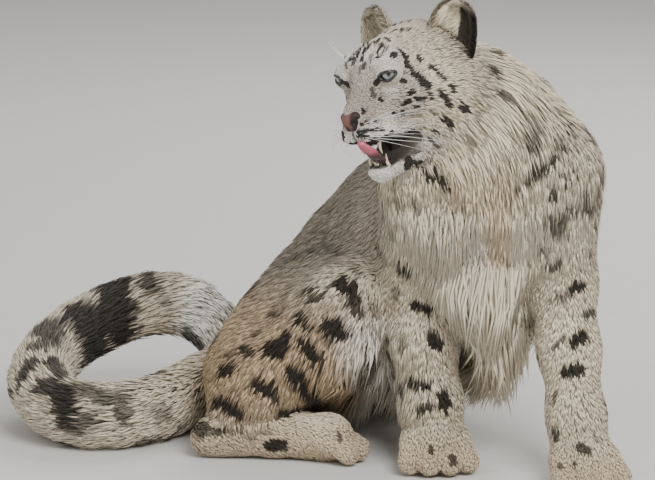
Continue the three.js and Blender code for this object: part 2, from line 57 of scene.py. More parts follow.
def turn(axis, angle):
    """The matrix that turns a point about X (0), Y (1) or Z (2) by an angle in radians."""
    i, j = [(1, 2), (2, 0), (0, 1)][axis]
    made = np.eye(3)
    made[i, i] = made[j, j] = math.cos(angle)
    made[j, i] = math.sin(angle)
    made[i, j] = -made[j, i]
    return made


HEAD_AXES = turn(2, HEAD_YAW) @ turn(1, HEAD_PITCH) @ turn(0, HEAD_ROLL)


def head(x, y, z):
    """A place in the head, given in the head's axes at an unscaled size, as a point of the plan."""
    return HEAD_AT + HEAD_AXES @ (np.array([x, y, z], float) * HEAD_SCALE)


def to_head(points):
    """Points of the plan in the head's axes and at its unscaled size."""
    return (points - HEAD_AT) @ HEAD_AXES / HEAD_SCALE


low, high = (np.array(corner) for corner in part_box("eye_left"))
PLAN_AT = (low + high) / 2 - head(*EYE_AT) * MM


def place(*xyz):
    """A point of the plan as an array."""
    return np.array(xyz, float)


def between(a, b, share):
    """The point a share of the way from a to b."""
    return a + (b - a) * share


# The camera. It stands at the photograph's viewpoint, 12 degrees above the chest and 5.5 m away, so
# that a millimetre at the plan's middle is 1 / 1.32 of a pixel of the 655 by 480 image.
IMAGE = (655, 480)
VIEW_HEIGHT = math.radians(12)
VIEW_DISTANCE = 5500.0
MM_PER_PIXEL = 1.32
AIM = place(0, 0, 309 * math.cos(VIEW_HEIGHT))
BACKWARDS = place(0, -math.cos(VIEW_HEIGHT), math.sin(VIEW_HEIGHT))
SENSOR = 36.0

camera = bpy.data.objects.new("camera", bpy.data.cameras.new("camera"))
camera.data.sensor_width = SENSOR
camera.data.lens = SENSOR * VIEW_DISTANCE / (IMAGE[0] * MM_PER_PIXEL)
camera.data.clip_end = 50
camera.location = (AIM + BACKWARDS * VIEW_DISTANCE) * MM + PLAN_AT
camera.rotation_euler = (math.pi / 2 - VIEW_HEIGHT, 0, 0)
bpy.context.scene.collection.objects.link(camera)
bpy.context.scene.camera = camera


def sight(pixels):
    """For pixels (n, 2) of the image: the viewpoint and the directions of their lines of sight."""
    offset = (np.asarray(pixels, float) - np.array(IMAGE) / 2) * MM_PER_PIXEL
    up = place(0, math.sin(VIEW_HEIGHT), math.cos(VIEW_HEIGHT))
    ways = offset[:, :1] * place(1, 0, 0) - offset[:, 1:] * up - BACKWARDS * VIEW_DISTANCE
    return AIM + BACKWARDS * VIEW_DISTANCE, ways / np.linalg.norm(ways, axis=1, keepdims=True)


# The flesh. Under the coat the body is rounded masses laid along the bones, each a segment with a
# radius at either end. A part is a soft union of its masses, and the body a soft union of its parts.
BONES = {
    "hips": place(-62, 222, 98), "loin": place(-3, 198, 165), "belly": place(60, 172, 225),
    "waist": place(115, 138, 285), "ribs": place(170, 95, 335), "chest": place(213, 50, 372),
    "root": place(217, 28, 416), "base": place(218, 18, 430), "middle": place(195, 6, 466),
    "nape": place(150, -8, 500),
}
GIRTHS = {
    "hips": 74, "loin": 96, "belly": 108, "waist": 114, "ribs": 118, "chest": 112,
    "root": 102, "base": 98, "middle": 90, "nape": 80,
}
SHOULDER_WIDTH = 160
BREAST = place(215, -20, 400)
FORELEGS = {
    "right": {
        "blade": place(200, 78, 458), "shoulder": place(BREAST[0] - SHOULDER_WIDTH / 2, -18, 392),
        "elbow": place(122, 30, 248), "wrist": place(139, -6, 82), "paw": place(143, -32, 0),
        "toes": place(0.1, -1, 0), "girths": (42, 58, 46, 42, 39),
    },
    "left": {
        "blade": place(262, 82, 466), "shoulder": place(BREAST[0] + SHOULDER_WIDTH / 2, -20, 398),
        "elbow": place(310, -8, 246), "wrist": place(326, -84, 84), "paw": place(335, -116, 0),
        "toes": place(0.22, -1, 0), "girths": (42, 58, 45, 40, 37),
    },
}
PELVIS = place(-18, 214, 128)
HIP_WAY = place(0.56, 0.83, 0)
HIP_WIDTH = 136
HINDLEGS = {
    "right": {
        "hip": PELVIS - HIP_WAY * HIP_WIDTH / 2, "knee": place(24, 40, 204), "hock": place(-122, 44, 62),
        "rump": place(-96, 168, 62), "heel": place(-158, 28, 26), "instep": place(-70, 20, 30),
        "paw": place(-2, 12, 0), "toes": place(1, -0.12, 0),
    },
    "left": {
        "hip": PELVIS + HIP_WAY * HIP_WIDTH / 2, "knee": place(152, 228, 200), "hock": place(16, 330, 62),
        "rump": place(-50, 286, 62), "heel": place(-12, 356, 26), "instep": place(66, 318, 30),
        "paw": place(124, 288, 0), "toes": place(0.88, -0.47, 0),
    },
}
FORE_PAW = (112, 112)
HIND_PAW = (96, 104)
TAIL_LINE = np.array([
    (-112, 238, 76), (-160, 214, 58), (-205, 160, 46), (-245, 104, 44), (-295, 74, 44), (-345, 84, 46),
    (-383, 132, 54), (-396, 206, 70), (-367, 282, 96), (-302, 334, 124), (-232, 352, 138),
    (-178, 344, 124), (-150, 322, 92),
], float)
TAIL_RADIUS = 47
TAIL_CORE = 0.76
TAIL_SHAPE = ((0, 0.1, 0.45, 0.8, 0.93, 1), (1.1, 1, 0.98, 1, 0.95, 0.7))


def curve(points, shares):
    """A centripetal Catmull-Rom curve through points, read at shares of its length."""
    padded = np.vstack([2 * points[0] - points[1], points, 2 * points[-1] - points[-2]])
    p0, p1, p2, p3 = padded[:-3], padded[1:-2], padded[2:-1], padded[3:]
    step = np.sqrt(np.linalg.norm(np.diff(padded, axis=0), axis=1))[:, None]
    a, b, c = step[:-2], step[1:-1], step[2:]
    start = ((p1 - p0) / a - (p2 - p0) / (a + b) + (p2 - p1) / b) * b
    end = ((p2 - p1) / b - (p3 - p1) / (b + c) + (p3 - p2) / c) * b
    t = np.linspace(0, 1, 24, endpoint=False)[None, :, None]
    basis = (2 * t**3 - 3 * t**2 + 1, t**3 - 2 * t**2 + t, 3 * t**2 - 2 * t**3, t**3 - t**2)
    parts = (p1[:, None], start[:, None], p2[:, None], end[:, None])
    dense = np.vstack([sum(k * p for k, p in zip(basis, parts)).reshape(-1, 3), points[-1:]])
    walked = np.r_[0, np.cumsum(np.linalg.norm(np.diff(dense, axis=0), axis=1))]
    at = np.asarray(shares, float) * walked[-1]
    return np.stack([np.interp(at, walked, dense[:, k]) for k in range(3)], axis=1)


def mass(a, b, radius_a, radius_b, blend=22):
    """One rounded mass: its two ends, their radii and how softly it joins what is before it."""
    return np.asarray(a, float), np.asarray(b, float), radius_a, radius_b, blend


def chain(places, radii, blend):
    """Masses end to end through a row of places."""
    return [mass(places[i], places[i + 1], radii[i], radii[i + 1], blend) for i in range(len(places) - 1)]


def paw(leg, size):
    """The masses of a paw: palm, knuckles and four toes, laid along its own way."""
    width, length = size
    way = leg["toes"] / np.linalg.norm(leg["toes"])
    side = place(-way[1], way[0], 0)

    def put(ahead, across, up):
        return leg["paw"] + way * ahead + side * across + place(0, 0, up)

    toe = width * 0.155
    made = [
        mass(put(-length * 0.24, 0, 32), put(6, 0, 30), width * 0.31, width * 0.34, 10),
        mass(put(0, -width * 0.22, 34), put(0, width * 0.22, 34), width * 0.21, width * 0.21, 16),
    ]
    for share in (-0.33, -0.115, 0.115, 0.33):
        ahead = length * (0.48 - abs(share) * 0.45)
        knuckle = put(8, share * width * 0.85, width * 0.3)
        made.append(mass(knuckle, put(ahead, share * width * 1.04, toe * 1.02), toe * 1.05, toe, 7))
    return made


def lump(a, b, radius_a, radius_b, blend):
    """A mass of the head, given in the head's axes."""
    return mass(head(*a), head(*b), radius_a * HEAD_SCALE, radius_b * HEAD_SCALE, blend)


def both(make):
    """A left and a right copy of something made for side +1 or -1."""
    return [make(1), make(-1)]


FLESH = {}
spine = ["hips", "loin", "belly", "waist", "ribs", "chest"]
FLESH["torso"] = chain([BONES[n] for n in spine], [GIRTHS[n] for n in spine], 18)
FLESH["torso"] += chain([place(212, 22, 320), place(210, 46, 240), place(200, 86, 175)], [86, 68, 50], 40)
FLESH["torso"] += chain([place(150, 110, 230), place(90, 150, 160), place(20, 195, 100)], [84, 78, 72], 40)
cervical = ["root", "base", "middle", "nape"]
FLESH["neck"] = chain([BONES[n] for n in cervical], [GIRTHS[n] for n in cervical], 18)
FLESH["neck"] += [mass((235, 92, 450), (238, 62, 470), 52, 46, 30)]
FLESH["neck"] += [mass((205, -20, 440), (170, -34, 478), 62, 58, 26)]
for side, leg in FORELEGS.items():
    girths = leg["girths"]
    upper = [leg["blade"], leg["shoulder"], between(leg["shoulder"], leg["elbow"], 0.5)]
    FLESH["torso"] += chain(upper, [girths[0], girths[1], girths[2]], 34)
    leg["forearm"] = between(leg["elbow"], leg["wrist"], 0.5)
    leg["low"] = between(leg["wrist"], leg["paw"], 0.6)
    lower = [leg["shoulder"], leg["elbow"], leg["forearm"], leg["wrist"], leg["low"]]
    FLESH[f"foreleg_{side}"] = chain(lower, [girths[1], girths[2], girths[3], girths[4], girths[4]], 26)
    FLESH[f"forepaw_{side}"] = paw(leg, FORE_PAW)
for side, leg in HINDLEGS.items():
    leg["crus"] = between(leg["knee"], leg["hock"], 0.75)
    leg["toe_end"] = place(leg["paw"][0], leg["paw"][1], 30)
    FLESH[f"thigh_{side}"] = [
        mass(leg["hip"], leg["knee"], 86, 56, 30), mass(leg["knee"], leg["crus"], 56, 50, 30),
        mass(leg["crus"], leg["hock"], 50, 38, 30),
        mass(leg["rump"], between(leg["hip"], leg["hock"], 0.5), 66, 82, 34),
    ]
    FLESH[f"hindfoot_{side}"] = chain([leg["heel"], leg["instep"], leg["toe_end"]], [28, 28, 30], 12)
    FLESH[f"hindpaw_{side}"] = paw(leg, HIND_PAW)
tail_shares = np.linspace(0, 1, 27)
tail_radii = TAIL_RADIUS * TAIL_CORE * np.interp(tail_shares, *TAIL_SHAPE)
FLESH["tail"] = chain(curve(TAIL_LINE, tail_shares), tail_radii, 4)
FLESH["head"] = [
    lump((-42, 0, 8), (8, 0, 12), 58, 51, 20), lump((26, 0, 20), (42, 0, 22), 36, 25, 24),
    *both(lambda s: lump((18, 38 * s, -8), (-34, 50 * s, -20), 25, 42, 24)),
    *both(lambda s: lump((-28, 46 * s, -42), (-62, 44 * s, -34), 36, 40, 24)),
    *both(lambda s: lump((0, 37 * s, -50), (-40, 40 * s, -60), 25, 34, 20)),
    lump((44, 0, 20), (94, 0, -3), 20, 12.5, 14), lump((38, 0, -16), (78, 0, -22), 34, 25, 16),
    *both(lambda s: lump((62, 19 * s, -30), (88, 13 * s, -30), 19, 15.5, 8)),
    *both(lambda s: lump((30, 34 * s, 46), (50, 20 * s, 43), 10, 9, 10)),
    *both(lambda s: lump((30, 41 * s, 14), (54, 28 * s, 13), 10, 9, 10)),
    lump((40, 0, -36), (70, 0, -36), 22, 18, 12),
    *both(lambda s: lump((18, 31 * s, -43), (56, 25 * s, -39), 11, 10, 8)),
]
LID_RADIUS = 17.3
HEAD_DEPTH = 4
for s in (1, -1):
    eye = (EYE_AT[0], EYE_AT[1] * s, EYE_AT[2])
    lid = (LID_RADIUS + HEAD_DEPTH) / HEAD_SCALE
    FLESH["head"].append(lump(eye, eye, lid, lid, 6))
FLESH["jaw"] = [
    *both(lambda s: lump((-16, 26 * s, -62), (44, 15 * s, -80), 29, 16, 14)),
    lump((44, 0, -84), (69, 0, -87), 17, 15, 14),
    *both(lambda s: lump((50, 9 * s, -83), (71, 8 * s, -84), 12, 12, 6)),
]
# How far under the coat's tips each part's skin lies, and how softly it joins the other parts.
DEPTHS = {
    "torso": 11, "neck": 12, "foreleg": 6, "forepaw": 3.5, "thigh": 9, "hindfoot": 4, "hindpaw": 3.5,
    "tail": 1.5, "head": HEAD_DEPTH, "jaw": HEAD_DEPTH,
}
SOFTNESS = {
    "torso": 30, "neck": 34, "foreleg": 30, "forepaw": 14, "thigh": 30, "hindfoot": 14, "hindpaw": 12,
    "tail": 24, "head": 24, "jaw": 7,
}
PARTS = list(FLESH)
PART_DEPTHS = np.array([DEPTHS[name.split("_")[0]] for name in PARTS])
FAR = 70.0


def soft_min(a, b, blend):
    """The lesser of two distances, rounded where they differ by less than blend."""
    near = np.maximum(blend - np.abs(a - b), 0) / blend
    return np.minimum(a, b) - near**2 * blend / 4


def near_masses(points, masses):
    """Distance to a part: for each mass the distance to its segment less its radius there."""
    found = np.full(len(points), 1e4)
    for a, b, radius_a, radius_b, blend in masses:
        run = b - a
        off = points - a
        t = np.clip(off @ run / max(run @ run, 1e-6), 0, 1)
        reach = np.sqrt(np.maximum(((off - t[:, None] * run) ** 2).sum(axis=1), 1e-9))
        found = soft_min(found, reach - (radius_a + t * (radius_b - radius_a)), blend)
    return found


def part_boxes():
    """For each part, the corners of a box that holds all that lies within FAR of it."""
    made = []
    for masses in FLESH.values():
        ends = np.array([end for a, b, _, _, _ in masses for end in (a, b)])
        radii = np.array([r for _, _, ra, rb, _ in masses for r in (ra, rb)])[:, None]
        made.append(((ends - radii).min(axis=0) - FAR, (ends + radii).max(axis=0) + FAR))
    return made


BOXES = part_boxes()


def near_parts(points):
    """Distances to every part, one row each; a part out of reach counts as FAR * 3 away."""
    found = np.full((len(PARTS), len(points)), FAR * 3)
    for row, (masses, (corner, opposite)) in enumerate(zip(FLESH.values(), BOXES)):
        inside = ((points > corner) & (points < opposite)).all(axis=1)
        if inside.any():
            found[row, inside] = near_masses(points[inside], masses)
    return found


def depth_there(parts):
    """The coat's depth, weighted by how near each part is."""
    weights = np.exp(-(parts - parts.min(axis=0)) / 12)
    return (weights * PART_DEPTHS[:, None]).sum(axis=0) / weights.sum(axis=0)


# The lids leave an almond open over each eyeball. It is seen from the eyeball's centre along the gaze,
# wide to either side, higher above than below, and turned so that the inner corner hangs lower.
GAZE_OUT = math.radians(35)
GAZE_UP = math.radians(2)
ALMOND_WIDE, ALMOND_ABOVE, ALMOND_BELOW = np.radians([43.0, 16.0, 22.0])
ALMOND_TURN = math.radians(1)
SOCKET_RADIUS = 12.5


def eye_axes(s):
    """Ahead, outer side and up for the eye of side s, as rows in the head's axes."""
    ahead = place(math.cos(GAZE_OUT) * math.cos(GAZE_UP), math.sin(GAZE_OUT) * s, math.sin(GAZE_UP))
    side = np.cross(ahead, place(0, 0, -s))
    side /= np.linalg.norm(side)
    up = np.cross(ahead, side) * s
    side, up = (side * math.cos(ALMOND_TURN) + up * math.sin(ALMOND_TURN),
                up * math.cos(ALMOND_TURN) - side * math.sin(ALMOND_TURN))
    return np.stack([ahead / np.linalg.norm(ahead), side, up])


def almond(across):
    """The almond's upper and lower edges, as angles, at angles across it."""
    arch = np.maximum(1 - (across / ALMOND_WIDE) ** 2, 0)
    lean = 1 - 0.4 * np.clip(across / ALMOND_WIDE, -1, 1)
    return ALMOND_ABOVE * arch**0.45 * lean**0.5, -ALMOND_BELOW * arch**0.8 * lean


def outside_almond(points, s):
    """How far points are outside the opening of the lids of side s; less than zero in the opening."""
    local = (to_head(points) - place(EYE_AT[0], EYE_AT[1] * s, EYE_AT[2])) * HEAD_SCALE
    ahead, side, up = (local @ eye_axes(s).T).T
    reach = np.linalg.norm(local, axis=1)
    across = np.arctan2(side, ahead)
    rise = np.arctan2(up, np.hypot(ahead, side))
    top, bottom = almond(across)
    beyond = np.maximum(np.maximum(rise - top, bottom - rise), np.abs(across) - ALMOND_WIDE)
    return np.maximum(beyond * reach, SOCKET_RADIUS - reach), reach


def over_skin(points):
    """Height over the skin: the soft union of the parts, less what the coat takes, and less the
    openings of the lids."""
    parts = near_parts(points)
    found = parts[0]
    for row, name in enumerate(PARTS[1:], start=1):
        found = soft_min(found, parts[row], SOFTNESS[name.split("_")[0]])
    found = found + depth_there(parts)
    by_eyes = np.flatnonzero(np.linalg.norm(points - head(EYE_AT[0], 0, EYE_AT[2]), axis=1) < FAR)
    if len(by_eyes):
        for s in (1, -1):
            beyond, reach = outside_almond(points[by_eyes], s)
            cut = np.where(reach < 2 * EYE_RADIUS, -beyond, -FAR)
            found[by_eyes] = np.maximum(found[by_eyes], cut)
    return found


SLOPE_STEP = 0.6


def slope(points, height=None):
    """The direction straight out of the skin, by differences of the height along each axis."""
    here = over_skin(points) if height is None else height
    rises = np.stack([over_skin(points + SLOPE_STEP * axis) - here for axis in np.eye(3)], axis=1)
    return rises / np.maximum(np.linalg.norm(rises, axis=1, keepdims=True), 1e-9)


def settle(points, rounds):
    """Points moved straight in or out until they lie on the skin."""
    for _ in range(rounds):
        here = over_skin(points)
        points = points - slope(points, here) * here[:, None]
    return points


# The skin. It is one closed surface from nose to tail tip. Each part is first a sheath, its spokes
# pushed out from a line to the masses; the sheaths are fused, refined over the face, and settled on
# the soft union of all parts.
SKIN_GRAIN = 5.8


def sheath(line, masses, up, rings, spokes, domes=3):
    """Grid (ring, spoke): rings stand along a line and tilt over its ends, and each spoke runs out to
    where the distance to the masses is zero. A point closes each end."""
    span = np.linspace(0, 1, rings)
    tilts = np.arange(1, domes + 1) * math.pi / 2 / (domes + 1)
    shares = np.r_[np.zeros(domes), span, np.ones(domes)]
    tilts = np.r_[-tilts[::-1], np.zeros(rings), tilts]
    centres = curve(line, shares)
    ways = curve(line, np.clip(shares + 0.02, 0, 1)) - curve(line, np.clip(shares - 0.02, 0, 1))
    ways /= np.linalg.norm(ways, axis=1, keepdims=True)
    across = up - (ways @ up)[:, None] * ways
    across /= np.linalg.norm(across, axis=1, keepdims=True)
    sides = np.cross(ways, across)
    angles = np.arange(spokes) / spokes * 2 * math.pi
    flat = np.cos(tilts)[:, None, None]
    spread = across[:, None] * np.cos(angles)[None, :, None] + sides[:, None] * np.sin(angles)[None, :, None]
    rays = (spread * flat + ways[:, None] * np.sin(tilts)[:, None, None]).reshape(-1, 3)
    rays = np.vstack([rays, -ways[:1], ways[-1:]])
    starts = np.vstack([np.repeat(centres, spokes, axis=0), centres[:1], centres[-1:]])
    length = np.zeros(len(rays))
    for _ in range(60):
        length = np.maximum(length - 0.5 * near_masses(starts + rays * length[:, None], masses), 0.5)
    return starts + rays * length[:, None], closed_faces(len(shares), spokes)


def closed_faces(rings, spokes):
    """Faces of a grid that is closed round, with a point at either end."""
    ring, spoke = np.meshgrid(np.arange(rings - 1), np.arange(spokes), indexing="ij")
    after = (spoke + 1) % spokes
    here, there = ring * spokes, (ring + 1) * spokes
    quads = np.stack([here + spoke, here + after, there + after, there + spoke], axis=-1).reshape(-1, 4)
    round_ = np.arange(spokes)
    after = (round_ + 1) % spokes
    start = np.stack([np.full(spokes, rings * spokes), after, round_], axis=1)
    last = (rings - 1) * spokes
    end = np.stack([np.full(spokes, rings * spokes + 1), last + round_, last + after], axis=1)
    return quads.tolist() + start.tolist() + end.tolist()


def new_piece(name, points, faces, material):
    """A mesh object at the origin whose points are given on the plan."""
    mesh = bpy.data.meshes.new(name)
    mesh.from_pydata((points * MM + PLAN_AT).tolist(), [], faces)
    mesh.shade_smooth()
    made = bpy.data.objects.new(name, mesh)
    bpy.context.scene.collection.objects.link(made)
    if material is not None:
        mesh.materials.append(material)
    return made


def points_of(mesh):
    """The mesh's points on the plan."""
    flat = np.empty(len(mesh.vertices) * 3, np.float32)
    mesh.vertices.foreach_get("co", flat)
    return (flat.reshape(-1, 3).astype(float) - PLAN_AT) / MM


def apply_all(piece):
    """Bakes a piece's modifiers into its mesh."""
    graph = bpy.context.evaluated_depsgraph_get()
    baked = bpy.data.meshes.new_from_object(piece.evaluated_get(graph), depsgraph=graph)
    piece.modifiers.clear()
    old = piece.data
    piece.data = baked
    bpy.data.meshes.remove(old)


UP = place(0, 0, 1)
SHEATHS = {
    "torso": (np.array([BONES[n] for n in spine]), place(-0.3, 0.2, 1), 24, 48),
    "neck": (np.array([BONES[n] for n in cervical]), place(-0.6, 0.3, -1), 12, 40),
    "head": (np.array([head(-56, 0, -10), head(-20, 0, -8), head(20, 0, -10), head(50, 0, -16),
                       head(76, 0, -20)]), UP, 40, 64),
    "jaw": (np.array([head(-16, 0, -64), head(20, 0, -74), head(60, 0, -87)]), UP, 16, 32),
    "tail": (curve(TAIL_LINE, np.linspace(0, 0.985, 40)), UP, 100, 24),
}
for side, leg in FORELEGS.items():
    SHEATHS[f"foreleg_{side}"] = (
        np.array([between(leg["shoulder"], leg["elbow"], 0.3), leg["elbow"], leg["forearm"], leg["wrist"],
                  leg["low"]]), place(0, -1, 0.2), 30, 28)
for side, leg in HINDLEGS.items():
    middle = between(leg["hip"], between(leg["knee"], leg["hock"], 0.5), 0.45)
    SHEATHS[f"thigh_{side}"] = (
        np.array([between(leg["rump"], middle, 0.3), middle, between(middle, leg["knee"], 0.7)]), UP, 16, 40)
    SHEATHS[f"hindfoot_{side}"] = (np.array([leg["heel"], leg["instep"], leg["toe_end"]]), UP, 20, 24)
PAWS = [(f"forepaw_{side}", leg) for side, leg in FORELEGS.items()]
PAWS += [(f"hindpaw_{side}", leg) for side, leg in HINDLEGS.items()]
for name, leg in PAWS:
    length = (FORE_PAW if name.startswith("fore") else HIND_PAW)[1]
    way = leg["toes"] / np.linalg.norm(leg["toes"])
    SHEATHS[name] = (
        np.array([leg["paw"] + way * ahead + UP * up
                  for ahead, up in ((-length * 0.22, 28), (4, 27), (length * 0.2, 20))]), UP, 10, 44)

rough_points, rough_faces, counted = [], [], 0
for name, (line, up, rings, spokes) in SHEATHS.items():
    points, faces = sheath(line, FLESH[name], up, rings, spokes)
    rough_points.append(points)
    rough_faces += [[i + counted for i in face] for face in faces]
    counted += len(points)
skin = new_piece("skin", np.vstack(rough_points), rough_faces, None)
fuse = skin.modifiers.new("fuse", "REMESH")
fuse.mode = "VOXEL"
fuse.voxel_size = SKIN_GRAIN * MM
apply_all(skin)


def refine(piece, wanted):
    """Splits the faces whose centres are wanted into four."""
    working = bmesh.new()
    working.from_mesh(piece.data)
    working.faces.ensure_lookup_table()
    centres = np.array([f.calc_center_median() for f in working.faces])
    chosen = wanted((centres - PLAN_AT) / MM)
    edges = {e for f, keep in zip(working.faces, chosen) if keep for e in f.edges}
    bmesh.ops.subdivide_edges(working, edges=list(edges), cuts=1, use_grid_fill=True)
    bmesh.ops.triangulate(working, faces=[f for f in working.faces if len(f.verts) > 4])
    working.to_mesh(piece.data)
    working.free()


def over_head(points):
    """True over the head in front of the ears."""
    local = to_head(points)
    return (np.abs(local[:, 1]) < 70) & (local[:, 0] > -30) & (local[:, 2] < 75) & (local[:, 2] > -110)


def over_face(points):
    """True over the eyes, muzzle, lips and chin."""
    local = to_head(points)
    return (np.abs(local[:, 1]) < 52) & (local[:, 0] > 22) & (local[:, 2] < 60) & (local[:, 2] > -105)


def over_eyes(points):
    """True over the lids."""
    local = to_head(points)
    local[:, 1] = np.abs(local[:, 1])
    return np.linalg.norm(local - np.array(EYE_AT), axis=1) * HEAD_SCALE < 1.5 * EYE_RADIUS


def settled(piece, rounds):
    """Settles a piece's points on the skin and lifts what would go under the floor."""
    points = settle(points_of(piece.data), rounds)
    points[:, 2] = np.maximum(points[:, 2], 0.2)
    piece.data.vertices.foreach_set("co", (points * MM + PLAN_AT).astype(np.float32).ravel())
    piece.data.update()


settled(skin, 3)
for wanted in (over_head, over_face, over_eyes):
    refine(skin, wanted)
    settled(skin, 2)
skin.data.shade_smooth()

# The markings. Ground colours run from smoky grey on the back to cream on the breast and buff on the
# haunches and feet. Dark spots are set where they show from the chest side, with a painted shade line in
# the fold over the haunch; the rest are scattered.
GREY = (0.47, 0.405, 0.325)
SMOKE = (0.30, 0.26, 0.21)
CREAM = (0.90, 0.785, 0.59)
WHITE = (0.95, 0.92, 0.84)
BUFF = (0.60, 0.43, 0.25)
OCHRE = (0.46, 0.31, 0.16)
SOOT = (0.02, 0.015, 0.011)
BRIDGE = (0.42, 0.34, 0.30)
# The mouth's lining is painted near-black: painted shade inside the mouth.
MOUTH_SHADE = (0.014, 0.009, 0.010)


def ease(low, high, value):
    """0 below low, 1 above high, and a smooth step between; low may be above high."""
    t = np.clip((value - low) / (high - low), 0, 1)
    return t * t * (3 - 2 * t)


def ripple(points, scale, seed):
    """Smooth wandering noise about zero: sines along seeded directions, summed."""
    rng = np.random.default_rng(seed)
    ways = rng.normal(size=(7, 3)) / scale
    shifts = rng.uniform(0, 2 * math.pi, 7)
    return np.sin(points @ ways.T + shifts).sum(axis=1) / 4


def mix(colours, tint, share):
    """Colours moved towards a tint by a share each."""
    return colours + (np.array(tint) - colours) * share[:, None]


def part_weights(parts, spread=14):
    """How much each part counts at each point."""
    weights = np.exp(-(parts - parts.min(axis=0)) / spread)
    return weights / weights.sum(axis=0)


TAIL_STEPS = 120


def along_tail(points):
    """The share of the tail's length that lies nearest each point."""
    shares = np.linspace(0, 1, TAIL_STEPS)
    line = curve(TAIL_LINE, shares)
    gaps = ((points[:, None] - line[None]) ** 2).sum(axis=2)
    return shares[gaps.argmin(axis=1)]


def of_part(weights, prefix):
    """The summed weight of the parts whose names start with prefix."""
    return sum(weights[row] for row, name in enumerate(PARTS) if name.startswith(prefix))


TAILWARD = BONES["hips"] - BONES["chest"]
DOWN = place(0, 0, -1)


def tangent(ways, normals):
    """Directions laid flat on the surface and made one unit long."""
    flat = ways - (ways * normals).sum(axis=1, keepdims=True) * normals
    return flat / np.maximum(np.linalg.norm(flat, axis=1, keepdims=True), 1e-9)


def lie_of_coat(points, parts, normals):
    """The way the hair lies: each part's own direction, weighted by how near the part is."""
    weights = part_weights(parts, 24)
    front = ease(70, -40, points[:, 1] - 0.2 * (points[:, 0] - 213))[:, None]
    local = to_head(points)
    side = np.clip(local[:, 1] / 30, -1, 1)
    low = ease(20, -40, local[:, 2])
    from_nose = np.stack([-np.ones(len(points)), 0.55 * side, 0.25 - 0.9 * low], axis=1) @ HEAD_AXES.T
    shares = np.linspace(0, 1, TAIL_STEPS)
    line = curve(TAIL_LINE, shares)
    tangents = np.gradient(line, axis=0)
    nearest = (along_tail(points) * (len(shares) - 1)).round().astype(int)
    ways = {
        "torso": TAILWARD / np.linalg.norm(TAILWARD) * (1 - front) + (DOWN + place(0, -0.1, 0)) * front,
        "neck": place(0.35, 0.35, -0.85) * (1 - front) + DOWN * front,
        "head": from_nose, "jaw": HEAD_AXES @ place(-0.8, 0, -0.6),
        "tail": tangents[nearest] / np.linalg.norm(tangents[nearest], axis=1, keepdims=True),
    }
    for name, leg in FORELEGS.items():
        ways[f"foreleg_{name}"] = DOWN + place(0, 0.15, 0)
        ways[f"forepaw_{name}"] = leg["toes"] + 0.5 * DOWN
    for name, leg in HINDLEGS.items():
        back = (leg["hock"] - leg["knee"]) / np.linalg.norm(leg["hock"] - leg["knee"])
        ways[f"thigh_{name}"] = 0.7 * back + 0.6 * DOWN
        ways[f"hindfoot_{name}"] = leg["toes"] + 0.2 * DOWN
        ways[f"hindpaw_{name}"] = leg["toes"] + 0.4 * DOWN
    total = sum(weights[row][:, None] * ways[name] for row, name in enumerate(PARTS))
    return tangent(total, normals)


# The spots that the camera sees, and a painted shade line in the fold over the haunch, as streaks between
# two pixels with a width in pixels and a strength.
# They were read from enlarged crops, to within a few pixels.
FOREHEAD = [
    (352, 52, 350, 57, 1.8, 0.8), (356, 50, 355, 55, 1.8, 0.8), (359, 53, 358, 57, 1.6, 0.8),
    (363, 56, 362, 61, 1.8, 0.8), (366, 48, 364, 53, 1.8, 0.8), (371, 44, 368, 49, 2.0, 0.9),
    (378, 52, 377, 58, 2.3, 0.8), (383, 44, 380, 49, 1.8, 0.8), (387, 39, 390, 42, 3.2, 0.9),
    (365, 63, 364, 68, 1.8, 0.7), (356, 60, 354, 64, 1.8, 0.7), (361, 66, 360, 72, 1.6, 0.5),
    (374, 39, 368, 44, 2.0, 0.9), (380, 40, 377, 43, 2.0, 0.8), (397, 31, 392, 33, 2.4, 0.8),
    (392, 27, 380, 32, 2.6, 0.7), (402, 24, 394, 27, 2.8, 0.8), (412, 22, 404, 24, 2.4, 0.7),
    (403, 30, 402, 32, 2.0, 0.9), (410, 29, 410, 31, 2.0, 0.9), (376, 34, 368, 38, 2.4, 0.7),
    (384, 51, 383, 55, 1.8, 0.6), (372, 56, 371, 62, 1.6, 0.5), (347, 62, 346, 66, 1.8, 0.6),
    (388, 47, 387, 52, 1.8, 0.6), (396, 36, 399, 38, 1.6, 0.5),
]
BROW = [
    (392, 54, 396, 54, 4.2, 1), (399, 52, 404, 55, 4.2, 1), (407, 58, 407, 64, 3.2, 1),
    (407, 65, 412, 68, 3.6, 1), (418, 57, 420, 60, 4.0, 1), (404, 72, 406, 72, 1.8, 0.5),
]
CHEEK = [
    (414, 74, 419, 77, 4.6, 1), (420, 79, 428, 86, 4.6, 1), (431, 66, 436, 71, 2.6, 0.9),
    (437, 73, 445, 79, 3.3, 0.9), (440, 92, 444, 94, 4.6, 1), (444, 96, 452, 106, 4.6, 1),
    (402, 80, 406, 81, 3, 0.9), (410, 93, 414, 91, 2.8, 0.8), (403, 104, 411, 100, 3, 0.95),
    (417, 99, 425, 98, 2.8, 1), (430, 94, 433, 98, 3.2, 1), (451, 86, 454, 89, 3, 0.9),
    (463, 108, 468, 110, 5, 1), (464, 105, 465, 113, 3, 0.8), (446, 120, 451, 125, 5, 1),
    (416, 107, 420, 106, 2, 0.8), (430, 111, 434, 112, 3, 0.6), (392, 113, 396, 114, 2, 0.8),
    (402, 111, 403, 114, 2.6, 0.8), (434, 130, 444, 135, 3, 0.9), (431, 139, 436, 144, 4, 0.7),
    (469, 139, 471, 144, 4, 0.5), (478, 115, 478, 122, 4, 0.4),
]
